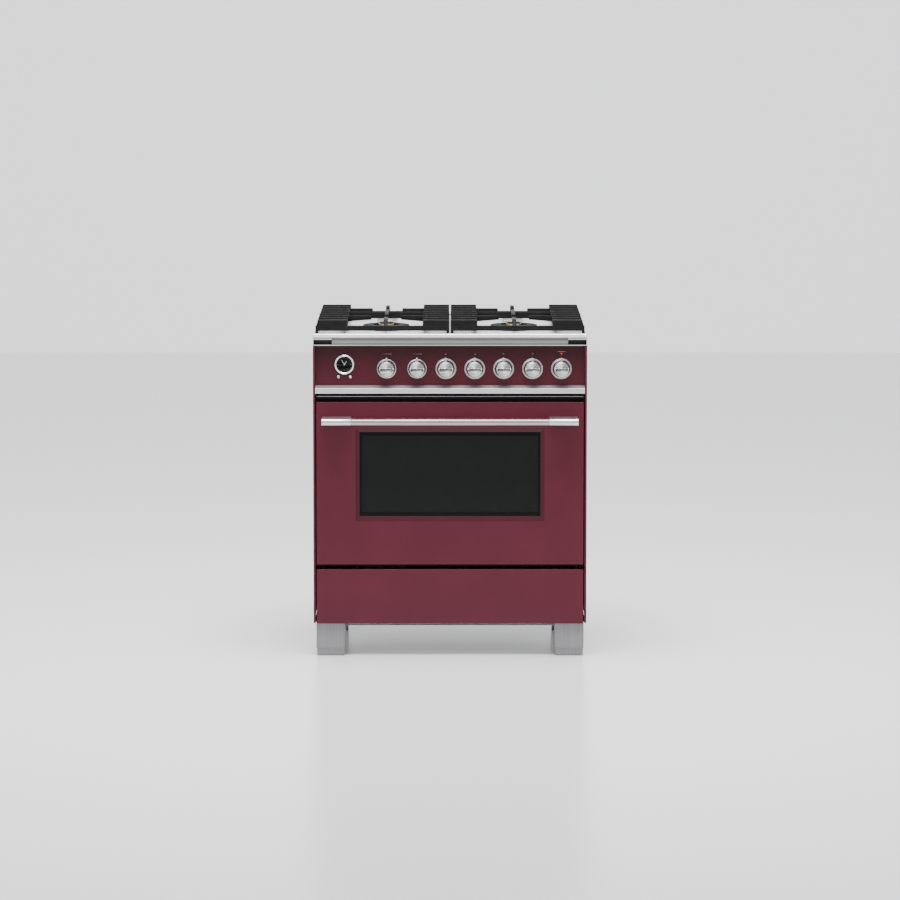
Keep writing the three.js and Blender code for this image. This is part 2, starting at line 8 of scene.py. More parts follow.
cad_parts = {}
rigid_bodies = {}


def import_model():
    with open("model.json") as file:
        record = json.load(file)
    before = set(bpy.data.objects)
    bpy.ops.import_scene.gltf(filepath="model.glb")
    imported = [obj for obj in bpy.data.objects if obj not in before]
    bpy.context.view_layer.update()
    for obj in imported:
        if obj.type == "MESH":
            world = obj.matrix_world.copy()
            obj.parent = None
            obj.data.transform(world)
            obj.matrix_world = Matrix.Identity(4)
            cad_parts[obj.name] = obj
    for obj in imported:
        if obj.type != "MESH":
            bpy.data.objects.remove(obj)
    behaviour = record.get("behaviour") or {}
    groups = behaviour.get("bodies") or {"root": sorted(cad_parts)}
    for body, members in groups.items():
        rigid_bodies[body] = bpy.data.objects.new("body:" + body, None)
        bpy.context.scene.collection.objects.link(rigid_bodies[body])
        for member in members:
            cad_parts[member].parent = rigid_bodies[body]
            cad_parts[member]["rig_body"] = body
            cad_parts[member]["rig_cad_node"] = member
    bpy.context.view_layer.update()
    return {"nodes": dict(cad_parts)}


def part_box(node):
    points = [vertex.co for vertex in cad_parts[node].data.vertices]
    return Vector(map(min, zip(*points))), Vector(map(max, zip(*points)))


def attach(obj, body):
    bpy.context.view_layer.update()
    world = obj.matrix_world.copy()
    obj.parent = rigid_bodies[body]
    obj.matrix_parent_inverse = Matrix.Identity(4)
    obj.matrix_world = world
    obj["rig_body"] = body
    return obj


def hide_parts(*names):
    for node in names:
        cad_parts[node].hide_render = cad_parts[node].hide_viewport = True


for leftover in list(bpy.data.objects):
    bpy.data.objects.remove(leftover)

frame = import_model()
nodes = frame["nodes"]
doorLow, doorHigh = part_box("door_panel")
frontY = doorLow.y
mm = 0.001


# modelling helpers


def deselectAll():
    if bpy.context.object and bpy.context.object.mode != "OBJECT":
        bpy.ops.object.mode_set(mode="OBJECT")
    bpy.ops.object.select_all(action="DESELECT")


def activate(piece):
    deselectAll()
    piece.select_set(True)
    bpy.context.view_layer.objects.active = piece
    return piece


def enterEdit(piece, mode="VERT", chosen=True):
    activate(piece)
    bpy.ops.object.mode_set(mode="EDIT")
    bpy.ops.mesh.select_mode(type=mode)
    bpy.ops.mesh.select_all(action="SELECT" if chosen else "DESELECT")


def leaveEdit():
    bpy.ops.object.mode_set(mode="OBJECT")


def pickFaces(piece, test):
    # selects the faces whose middle and normal pass the test, and stays in edit mode
    enterEdit(piece, "FACE", chosen=False)
    leaveEdit()
    for face in piece.data.polygons:
        face.select = bool(test(face.center, face.normal))
    bpy.ops.object.mode_set(mode="EDIT")


def bakePlace(piece):
    activate(piece)
    bpy.ops.object.transform_apply(location=True, rotation=True, scale=True)
    return piece


def softenEdges(piece, width, segments=2, angle=30):
    activate(piece)
    bevel = piece.modifiers.new("softEdges", "BEVEL")
    bevel.width = width
    bevel.segments = segments
    bevel.limit_method = "ANGLE"
    bevel.angle_limit = math.radians(angle)
    bpy.ops.object.modifier_apply(modifier=bevel.name)
    return piece


def smooth(piece, angle=35):
    activate(piece)
    bpy.ops.object.shade_smooth_by_angle(angle=math.radians(angle))
    return piece


def evenFaces(piece):
    # the large faces decide the shading next to a softened edge, so that flat sheet stays flat
    activate(piece)
    weights = piece.modifiers.new("weights", "WEIGHTED_NORMAL")
    weights.keep_sharp = True
    bpy.ops.object.modifier_apply(modifier=weights.name)


def fitChosen(piece, low, high):
    # stretches and moves the selected faces until they just fill the box between two corners
    leaveEdit()
    chosen = [vertex.co.copy() for vertex in piece.data.vertices if vertex.select]
    nowLow = Vector([min(place[axis] for place in chosen) for axis in range(3)])
    nowHigh = Vector([max(place[axis] for place in chosen) for axis in range(3)])
    low, high = Vector(low), Vector(high)
    size, target = nowHigh - nowLow, high - low
    ratio = [target[axis] / size[axis] if size[axis] > 1e-6 else 1 for axis in range(3)]
    middle = (nowLow + nowHigh) / 2
    bpy.ops.object.mode_set(mode="EDIT")
    bpy.ops.transform.resize(value=ratio, center_override=middle)
    bpy.ops.transform.translate(value=(low + high) / 2 - middle)


def thicken(piece, wall):
    activate(piece)
    skin = piece.modifiers.new("wall", "SOLIDIFY")
    skin.thickness = wall
    skin.offset = -1
    skin.use_even_offset = True
    bpy.ops.object.modifier_apply(modifier=skin.name)
    return piece


def punch(piece, cutters):
    tool = joinPieces(cutters)
    activate(piece)
    holes = piece.modifiers.new("holes", "BOOLEAN")
    holes.operation = "DIFFERENCE"
    holes.solver = "EXACT"
    holes.object = tool
    bpy.ops.object.modifier_apply(modifier=holes.name)
    bpy.data.objects.remove(tool)
    return piece


def rod(along, radius, start, end, a, b, sides=32):
    # a plain round cutter or bar between two places on one axis; a and b are the other two coordinates
    middle = (start + end) / 2
    place = {"X": (middle, a, b), "Y": (a, middle, b), "Z": (a, b, middle)}[along]
    turn = {"X": (0, math.pi / 2, 0), "Y": (math.pi / 2, 0, 0), "Z": (0, 0, 0)}[along]
    bpy.ops.mesh.primitive_cylinder_add(
        vertices=sides, radius=radius, depth=end - start, location=place, rotation=turn
    )
    return bakePlace(bpy.context.object)


def roundedOutline(halfX, z0, z1, corner, steps=6):
    points = []
    left, right, under, over = corner - halfX, halfX - corner, z0 + corner, z1 - corner
    for x, z, start in ((right, over, 0), (left, over, 90), (left, under, 180), (right, under, 270)):
        for step in range(steps + 1):
            angle = math.radians(start + 90 * step / steps)
            points.append((x + corner * math.cos(angle), z + corner * math.sin(angle)))
    return points


def pressedPan(low, high, steps, edge, wall, faceSign=-1):
    # a sheet pan whose face is pressed in or out step by step, each step (halfX, z0, z1, depth) in
    # millimetres; a pan with steps is cut open at the last one
    piece = slab(low, high)
    pickFaces(piece, lambda middle, normal: normal.y * faceSign > 0.9)
    faceY = low[1] if faceSign < 0 else high[1]
    for halfX, z0, z1, depth in steps:
        bpy.ops.mesh.inset(thickness=1 * mm)
        y = faceY - faceSign * depth * mm
        fitChosen(piece, (-halfX * mm, y, z0 * mm), (halfX * mm, y, z1 * mm))
    if steps:
        bpy.ops.mesh.delete(type="FACE")
    pickFaces(piece, lambda middle, normal: normal.y * faceSign < -0.9 and abs(middle.y - faceY) > 12 * mm)
    bpy.ops.mesh.delete(type="FACE")
    leaveEdit()
    softenEdges(piece, edge, 3, 20)
    return thicken(piece, wall)


def slab(low, high, edge=0.0, segments=2):
    # a box between two corners with softened edges
    low, high = Vector(low), Vector(high)
    bpy.ops.mesh.primitive_cube_add(size=1, location=(low + high) / 2, scale=high - low)
    piece = bakePlace(bpy.context.object)
    if edge:
        softenEdges(piece, edge, segments)
    return piece


def turned(rings, segments=96):
    # rings are (radius, height) along Z: the first circle is extruded and resized ring by ring
    firstRadius, firstHeight = rings[0]
    fromPole = firstRadius == 0
    start = rings[1] if fromPole else rings[0]
    bpy.ops.mesh.primitive_circle_add(vertices=segments, radius=start[0], fill_type="NOTHING")
    piece = bpy.context.object
    enterEdit(piece, "EDGE")
    bpy.ops.transform.translate(value=(0, 0, start[1]))
    if fromPole:
        bpy.ops.mesh.fill()
        bpy.ops.mesh.poke()
        bpy.ops.mesh.select_all(action="DESELECT")
        leaveEdit()
        for vertex in piece.data.vertices:
            if math.hypot(vertex.co.x, vertex.co.y) < start[0] * 0.5:
                vertex.co.z = firstHeight
        for edge in piece.data.edges:
            ends = [piece.data.vertices[i].co for i in edge.vertices]
            edge.select = all(math.hypot(e.x, e.y) > start[0] * 0.9 for e in ends)
        bpy.ops.object.mode_set(mode="EDIT")
    radius, height = start
    for nextRadius, nextHeight in rings[2 if fromPole else 1 :]:
        lift = nextHeight - height
        bpy.ops.mesh.extrude_region_move(TRANSFORM_OT_translate={"value": (0, 0, lift)})
        if nextRadius == 0:
            bpy.ops.mesh.merge(type="CENTER")
            break
        ratio = nextRadius / radius
        bpy.ops.transform.resize(value=(ratio, ratio, 1), center_override=(0, 0, nextHeight))
        radius, height = nextRadius, nextHeight
    bpy.ops.mesh.select_all(action="SELECT")
    bpy.ops.mesh.remove_doubles(threshold=1e-6)
    bpy.ops.mesh.normals_make_consistent(inside=False)
    leaveEdit()
    # each point keeps its place about the axis, so that a turned grain and the painted highlight fans can
    # follow it
    spin = piece.data.attributes.new("turnPlace", "FLOAT_VECTOR", "POINT")
    for vertex in piece.data.vertices:
        spin.data[vertex.index].vector = (vertex.co.x, vertex.co.y, 0)
    return piece


def facing(piece, x, y, z):
    # a piece turned along Z is laid to face the user, with its zero height at y
    piece.rotation_euler = (math.pi / 2, 0, 0)
    piece.location = (x, y, z)
    return bakePlace(piece)


def outlineSolid(points, along, start, end):
    # a flat outline pushed along one axis: points are the two other coordinates, in X, Y, Z order
    bpy.ops.mesh.primitive_circle_add(vertices=len(points), fill_type="NGON")
    piece = bpy.context.object
    for vertex, (a, b) in zip(piece.data.vertices, points):
        vertex.co = {"X": (start, a, b), "Y": (a, start, b), "Z": (a, b, start)}[along]
    enterEdit(piece, "FACE")
    step = {"X": (end - start, 0, 0), "Y": (0, end - start, 0), "Z": (0, 0, end - start)}[along]
    bpy.ops.mesh.extrude_region_move(TRANSFORM_OT_translate={"value": step})
    bpy.ops.mesh.select_all(action="SELECT")
    bpy.ops.mesh.normals_make_consistent(inside=False)
    leaveEdit()
    return piece


def joinPieces(pieces):
    deselectAll()
    for piece in pieces:
        piece.select_set(True)
    bpy.context.view_layer.objects.active = pieces[0]
    bpy.ops.object.join()
    return pieces[0]


def copyOf(piece, shift=(0, 0, 0)):
    twin = piece.copy()
    twin.data = piece.data.copy()
    bpy.context.scene.collection.objects.link(twin)
    twin.data.transform(Matrix.Translation(shift))
    return twin


def mirroredCopy(piece):
    twin = copyOf(piece)
    twin.data.transform(Matrix.Scale(-1, 4, (1, 0, 0)))
    enterEdit(twin)
    bpy.ops.mesh.normals_make_consistent(inside=False)
    leaveEdit()
    return twin


def mergedCopy(nodeName):
    # a CAD node's triangles, merged and with flat faces made whole
    source = nodes[nodeName]
    piece = source.copy()
    piece.data = source.data.copy()
    piece.parent = None
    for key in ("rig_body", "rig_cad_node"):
        del piece[key]
    bpy.context.scene.collection.objects.link(piece)
    enterEdit(piece)
    bpy.ops.mesh.customdata_custom_splitnormals_clear()
    bpy.ops.mesh.remove_doubles(threshold=2e-5)
    bpy.ops.mesh.dissolve_limited(angle_limit=math.radians(1))
    leaveEdit()
    return piece


def finishPiece(piece, name, body, surface, replaced=(), angle=35):
    smooth(piece, angle)
    piece.name = name
    piece.data.materials.clear()
    piece.data.materials.append(surface)
    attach(piece, body)
    if replaced:
        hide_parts(*replaced)
    return piece


# shader helpers


class Wire:
    # wraps one output socket, so that shader maths reads as an expression
    def __init__(self, tree, socket=None):
        self.tree = tree
        self.socket = socket

    def make(self, kind, settings=None, inputs=None, out=0):
        made = self.tree.nodes.new(kind)
        for key, value in (settings or {}).items():
            if key == "stops":
                ramp = made.color_ramp
                while len(ramp.elements) < len(value):
                    ramp.elements.new(0.5)
                for stop, (place, shade) in zip(ramp.elements, value):
                    stop.position = place
                    stop.color = shade if isinstance(shade, tuple) else (shade, shade, shade, 1)
            else:
                setattr(made, key, value)
        for key, value in (inputs or {}).items():
            if isinstance(value, Wire):
                self.tree.links.new(value.socket, made.inputs[key])
            else:
                made.inputs[key].default_value = value
        return Wire(self.tree, made.outputs[out])

    def maths(self, operation, first, second):
        return self.make("ShaderNodeMath", {"operation": operation}, {0: first, 1: second})

    def __add__(self, other):
        return self.maths("ADD", self, other)

    def __radd__(self, other):
        return self.maths("ADD", other, self)

    def __sub__(self, other):
        return self.maths("SUBTRACT", self, other)

    def __rsub__(self, other):
        return self.maths("SUBTRACT", other, self)

    def __mul__(self, other):
        return self.maths("MULTIPLY", self, other)

    def __rmul__(self, other):
        return self.maths("MULTIPLY", other, self)

    def below(self, limit):
        return self.maths("LESS_THAN", self, limit)

    def ramp(self, *stops):
        return self.make("ShaderNodeValToRGB", {"stops": stops}, {0: self})

    def between(self, colourA, colourB):
        # colourA where this mask is 0, colourB where it is 1
        return self.make(
            "ShaderNodeMix",
            {"data_type": "RGBA"},
            {0: self, 6: asColour(colourA), 7: asColour(colourB)},
            out=2,
        )


def asColour(value):
    return value if isinstance(value, Wire) else (*value, 1)


def newSurface(name, **constants):
    material = bpy.data.materials.new(name)
    material.use_nodes = True
    shader = material.node_tree.nodes["Principled BSDF"]
    for key, value in constants.items():
        shader.inputs[key].default_value = value
    return material, shader, Wire(material.node_tree)


def plug(shader, wire, socketName):
    wire.tree.links.new(wire.socket, shader.inputs[socketName])


def plugBump(shader, height, strength, distance=0.0002):
    bump = height.make(
        "ShaderNodeBump", {}, {"Strength": strength, "Distance": distance, "Height": height}
    )
    plug(shader, bump, "Normal")


def placeWire(start):
    return start.make("ShaderNodeTexCoord", out="Object")


def insideOf(place, halfX, lowZ, highZ):
    acrossX = place.make("ShaderNodeSeparateXYZ", {}, {0: place}, out="X")
    upZ = place.make("ShaderNodeSeparateXYZ", {}, {0: place}, out="Z")
    return place.maths("ABSOLUTE", acrossX, 0).below(halfX) * upZ.below(highZ) * (1 - upZ.below(lowZ))


def noiseOn(vector, scale, detail=3.0, roughness=0.5, stretch=None):
    if stretch:
        vector = vector.make("ShaderNodeMapping", {}, {"Vector": vector, "Scale": stretch})
    return vector.make(
        "ShaderNodeTexNoise",
        {},
        {"Vector": vector, "Scale": scale, "Detail": detail, "Roughness": roughness},
    )


# surfaces


def makeEnamel(name, deep, light, roughness, shade=None, recess=None):
    # shade is (low height, high height, tone): painted shade, the colour falls to that tone towards the top
    # recess is (halfX, low height, high height, tone): painted shade, the pressed frame inside it is toned
    # down
    look = {"peel": 900, "cloud": 7, "smudge": 24}
    material, shader, start = newSurface(name, **{"Coat Roughness": 0.1, "Specular IOR Level": 0.15})
    place = placeWire(start)
    cloud = noiseOn(place, look["cloud"], 4)
    colour = cloud.ramp((0.3, 0.0), (0.75, 1.0)).between(deep, light)
    if shade:
        # painted shade: the colour darkens towards the top
        low, high, tone = shade
        z = place.make("ShaderNodeSeparateXYZ", {}, {0: place}, out="Z")
        fall = (z - low) * (1 / (high - low))
        colour = fall.ramp((0.0, 0.0), (1.0, 1.0)).between(colour, tuple(part * tone for part in deep))
    if recess:
        # painted shade inside the door's pressed window frame
        *region, tone = recess
        colour = insideOf(place, *region).between(colour, tuple(part * tone for part in deep))
    plug(shader, colour, "Base Color")
    smudge = noiseOn(place, look["smudge"], 5, 0.6)
    plug(shader, smudge * 0.12 + (roughness - 0.06), "Roughness")
    plug(shader, smudge * 0.06 + 0.06, "Coat Weight")
    plugBump(shader, noiseOn(place, look["peel"], 2), 0.12, 0.00012)
    return material


def makeBrushed(name, dark, light, roughness, stretch=(5, 1600, 1600), strength=0.18):
    # long fine scratches along the direction that the stretch leaves loose
    material, shader, start = newSurface(name, Metallic=1.0, IOR=2.5)
    place = placeWire(start)
    grain = noiseOn(place, 1, 4, 0.65, stretch)
    coarse = noiseOn(place, 1, 3, 0.5, tuple(value * 0.25 for value in stretch))
    cloud = noiseOn(place, 9, 4)
    tone = grain * 0.5 + coarse * 0.3 + cloud * 0.2
    plug(shader, tone.ramp((0.36, 0.0), (0.64, 1.0)).between(dark, light), "Base Color")
    plug(shader, grain * 0.16 + cloud * 0.08 + (roughness - 0.12), "Roughness")
    plugBump(shader, grain + coarse, strength, 0.00008)
    return material


def makeTurned(name, dark, light, roughness, pitch=5200):
    # rings of fine tool marks about the piece's own axis, and painted highlights: the fans of light that a
    # spun face shows, set into the colour by angle
    look = {"highlightFans": 2, "highlightFanStart": 2.2, "sideHighlightFans": 3, "sideHighlightStart": 0.5}
    material, shader, start = newSurface(name, Metallic=1.0, IOR=2.5)
    spin = start.make("ShaderNodeAttribute", {"attribute_name": "turnPlace"}, out="Vector")
    radius = spin.make("ShaderNodeVectorMath", {"operation": "LENGTH"}, {0: spin}, out="Value")
    across = spin.make("ShaderNodeSeparateXYZ", {}, {0: spin}, out="X")
    up = spin.make("ShaderNodeSeparateXYZ", {}, {0: spin}, out="Y")
    angle = spin.maths("ARCTAN2", up, across)
    along = start.make("ShaderNodeCombineXYZ", {}, {"X": radius})
    rings = noiseOn(along, pitch, 2, 0.7)
    # painted highlight: bright and dark fans by the angle about the axis
    fan = spin.maths("COSINE", angle * look["highlightFans"] + look["highlightFanStart"], 0) * 0.5 + 0.5
    side = spin.maths("COSINE", angle * look["sideHighlightFans"] + look["sideHighlightStart"], 0) * 0.5 + 0.5
    tone = fan * fan * 0.5 + side * 0.2 + rings * 0.3
    plug(shader, tone.ramp((0.12, 0.0), (0.8, 1.0)).between(dark, light), "Base Color")
    plug(shader, rings * 0.14 + (roughness - 0.07), "Roughness")
    plugBump(shader, rings, 0.35, 0.00005)
    return material


def makeCastIron(name, deep, worn):
    material, shader, start = newSurface(name, **{"Specular IOR Level": 0.1})
    place = placeWire(start)
    grain = noiseOn(place, 1500, 3, 0.6)
    patch = noiseOn(place, 40, 4)
    edge = start.make("ShaderNodeNewGeometry", out="Pointiness").ramp((0.5, 0.0), (0.58, 1.0))
    plug(shader, (edge * patch).between(deep, worn), "Base Color")
    plug(shader, patch * 0.2 + 0.42, "Roughness")
    plugBump(shader, grain + patch * 0.6, 0.35, 0.0002)
    return material


def makeBlackEnamel():
    material, shader, start = newSurface(
        "blackEnamel", **{"Coat Roughness": 0.1, "Specular IOR Level": 0.15},
    )
    place = placeWire(start)
    speck = noiseOn(place, 2600, 1).ramp((0.68, 0.0), (0.74, 1.0))
    plug(shader, speck.between((0.004, 0.004, 0.0045), (0.03, 0.03, 0.033)), "Base Color")
    plug(shader, noiseOn(place, 30, 4) * 0.15 + 0.24, "Roughness")
    plug(shader, noiseOn(place, 12, 2) * 0.1 + 0.05, "Coat Weight")
    plugBump(shader, noiseOn(place, 700, 2), 0.15)
    return material


def makeZinc():
    # galvanised sheet with its spangle
    material, shader, start = newSurface("zincSheet", Metallic=1.0)
    place = placeWire(start)
    cells = place.make("ShaderNodeTexVoronoi", {}, {"Vector": place, "Scale": 130.0}, out="Color")
    tone = cells.make("ShaderNodeSeparateColor", {}, {0: cells})
    plug(shader, tone.between((0.3, 0.31, 0.32), (0.44, 0.45, 0.46)), "Base Color")
    plug(shader, tone * 0.16 + 0.36, "Roughness")
    plugBump(shader, noiseOn(place, 500, 3), 0.1)
    return material


def makeGlass(name, colour, border=None):
    # border is (halfX, lowZ, highZ): outside it the pane carries its printed black edge
    material, shader, start = newSurface(name, **{"Specular IOR Level": 0.11})
    place = placeWire(start)
    haze = noiseOn(place, 14, 4)
    body = haze.ramp((0.3, 0.0), (0.8, 1.0)).between(colour, tuple(c * 1.12 for c in colour))
    if border:
        body = insideOf(place, *border).between((0.0015, 0.0015, 0.0015), body)
    plug(shader, body, "Base Color")
    plug(shader, haze * 0.06 + 0.03, "Roughness")
    return material


def makeClearGlass():
    material, shader, start = newSurface("clearGlass", IOR=1.5)
    shader.inputs["Base Color"].default_value = (0.4, 0.44, 0.42, 1)
    haze = noiseOn(placeWire(start), 12, 4)
    plug(shader, haze * 0.05 + 0.02, "Roughness")
    plug(shader, haze * 0.1 + 0.25, "Alpha")
    return material


def makePlain(name, colour, roughness, scale=400, metallic=0.0):
    # moulded or printed surfaces: a little colour drift and a fine grain
    material, shader, start = newSurface(name, Metallic=metallic)
    place = placeWire(start)
    drift = noiseOn(place, 30, 3)
    darker = tuple(c * 0.85 for c in colour)
    lighter = tuple(min(1, c * 1.12) for c in colour)
    plug(shader, drift.between(darker, lighter), "Base Color")
    plug(shader, drift * 0.14 + (roughness - 0.07), "Roughness")
    plugBump(shader, noiseOn(place, scale, 3), 0.15)
    return material


def makeRope():
    material, shader, start = newSurface("sealRope")
    place = placeWire(start)
    weave = place.make(
        "ShaderNodeTexWave",
        {"wave_type": "BANDS", "bands_direction": "DIAGONAL"},
        {"Vector": place, "Scale": 260.0, "Distortion": 1.5},
        out="Fac",
    )
    plug(shader, weave.between((0.02, 0.02, 0.022), (0.07, 0.07, 0.075)), "Base Color")
    plug(shader, weave * 0.1 + 0.75, "Roughness")
    plugBump(shader, weave, 0.5, 0.0006)
    return material


printEdge = (243.7 * mm, 402.6 * mm, 615.6 * mm)
burgundy = makeEnamel("burgundyEnamel", (0.07, 0.0068, 0.0165), (0.079, 0.0082, 0.0192), 0.32)
# the door's burgundy, with painted shade in the pressed frame around the window
doorRecessShadedBurgundy = makeEnamel(
    "doorRecessShadedBurgundy", (0.07, 0.0068, 0.0165), (0.079, 0.0082, 0.0192), 0.32, recess=(
        0.2622, 0.3779, 0.638, 0.6,
    )
)
# the control panel's enamel is a darker copy of the burgundy, with painted shade that deepens towards the
# top, under the hob's overhang
panelShadedBurgundy = makeEnamel(
    "panelShadedBurgundy", (0.06, 0.0064, 0.0132), (0.067, 0.0076, 0.015), 0.3, (0.755, 0.866, 0.36)
)
steelAcross = makeBrushed("steelAcross", (0.44, 0.44, 0.45), (0.62, 0.62, 0.63), 0.3)
steelUpright = makeBrushed("steelUpright", (0.17, 0.17, 0.175), (0.25, 0.25, 0.255), 0.34, (1600, 1600, 5))
handleSteel = makeBrushed("handleSteel", (0.25, 0.25, 0.255), (0.36, 0.36, 0.365), 0.17)
satinAcross = makeBrushed("satinAcross", (0.27, 0.275, 0.27), (0.36, 0.365, 0.36), 0.42)
hobSteel = makeBrushed("hobSteel", (0.8, 0.8, 0.81), (0.92, 0.92, 0.93), 0.3, (4, 1200, 1200), 0.08)
hobSteel.node_tree.nodes["Principled BSDF"].inputs["Metallic"].default_value = 0.55
turnedSteel = makeTurned("turnedSteel", (0.24, 0.24, 0.245), (0.8, 0.8, 0.81), 0.42)
ringSteel = makeTurned("ringSteel", (0.42, 0.42, 0.43), (0.78, 0.78, 0.79), 0.24)
darkSteel = makeBrushed("darkSteel", (0.3, 0.3, 0.3), (0.4, 0.4, 0.4), 0.45)
# a near-black copy of the burgundy: painted shade for the panel seen at the ends of the vent
ventShadeBurgundy = makeEnamel("ventShadeBurgundy", (0.016, 0.008, 0.01), (0.022, 0.01, 0.012), 0.4)
polished = makePlain("polishedSteel", (0.8, 0.8, 0.81), 0.14, 900, 1.0)
castIron = makeCastIron("castIron", (0.0038, 0.0038, 0.004), (0.012, 0.012, 0.0124))
blackEnamel = makeBlackEnamel()
zinc = makeZinc()
windowDark = makeGlass("windowDark", (0.0055, 0.0067, 0.0062), printEdge)
dialGlass = makeGlass("dialGlass", (0.01, 0.011, 0.011))
clearGlass = makeClearGlass()
alloy = makePlain("burnerAlloy", (0.62, 0.62, 0.63), 0.36, 700, 1.0)
brass = makePlain("brass", (0.72, 0.5, 0.2), 0.3, 600, 1.0)
chromeWire = makePlain("chromeWire", (0.66, 0.67, 0.68), 0.16, 500, 1.0)
blackPlastic = makePlain("blackPlastic", (0.012, 0.012, 0.013), 0.4)
whitePrint = makePlain("whitePrint", (0.26, 0.2, 0.21), 0.5)
ceramic = makePlain("ceramic", (0.75, 0.74, 0.72), 0.3)
redPrint = makePlain("redPrint", (0.5, 0.012, 0.016), 0.5)
handMetal = makePlain("handMetal", (0.55, 0.55, 0.55), 0.35, 500, 0.6)
rope = makeRope()
print("surfaces ready")


# pressed and folded sheet


def sheetFinish(piece, nodeName, surface):
    body = nodes[nodeName]["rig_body"]
    finishPiece(piece, nodeName + "_sheet", body, surface, [nodeName])
    evenFaces(piece)


def hingeSlots(y0, z0, z1):
    places = (-0.33, 0.33)
    return [slab((x - 15 * mm, y0, z0), (x + 15 * mm, frontY + 60 * mm, z1)) for x in places]


def doorAndDrawer():
    dims = {"skin": 1.6 * mm, "edge": 1.5 * mm, "linerEdge": 2 * mm}
    low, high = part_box("door_panel")
    window = [(261.8, 378.3, 637.6, 0), (250.7, 391.7, 625.9, 6.5)]
    skin = pressedPan(low, high, window, dims["edge"], dims["skin"])
    punch(skin, hingeSlots(frontY + 9 * mm, low.z - 1 * mm, low.z + 4 * mm))
    sheetFinish(skin, "door_panel", doorRecessShadedBurgundy)
    low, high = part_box("drawer_front")
    front = pressedPan(low, high, [], dims["edge"], dims["skin"])
    sheetFinish(front, "drawer_front", burgundy)
    low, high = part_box("door_liner")
    high.y -= 5 * mm
    plugSteps = [(292, 308, 682, 0), (285, 315, 675, -5), (240, 405, 613, -5), (235, 410, 608, 0)]
    liner = pressedPan(low, high, plugSteps, dims["linerEdge"], dims["skin"], faceSign=1)
    punch(liner, hingeSlots(low.y - 1 * mm, low.z - 1 * mm, low.z + 30 * mm))
    sheetFinish(liner, "door_liner", blackEnamel)
    for name, surface, slotName in (
        ("window_glass", windowDark, "dark_glass"),
        ("inner_glass", clearGlass, "clear_glass"),
    ):
        sheetFinish(slab(*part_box(name), 0.6 * mm, 3), name, surface)
    low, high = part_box("drawer_box")
    box = slab(low, high)
    wall = 1.6 * mm
    pickFaces(box, lambda middle, normal: normal.z > 0.9)
    for z in (high.z, low.z + wall):
        bpy.ops.mesh.inset(thickness=wall)
        fitChosen(box, (low.x + wall, low.y + wall, z), (high.x - wall, high.y - wall, z))
    leaveEdit()
    sheetFinish(softenEdges(box, 0.5 * mm), "drawer_box", zinc)
    section = [
        (353, 150), (367, 150), (367, 168), (353, 168), (353, 166), (365, 166), (365, 152), (353, 152),
    ]
    low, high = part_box("drawer_runner_right")
    channel = outlineSolid([(x * mm, z * mm) for x, z in section], "Y", low.y, high.y)
    softenEdges(channel, 0.4 * mm)
    sheetFinish(mirroredCopy(channel), "drawer_runner_left", zinc)
    sheetFinish(channel, "drawer_runner_right", zinc)


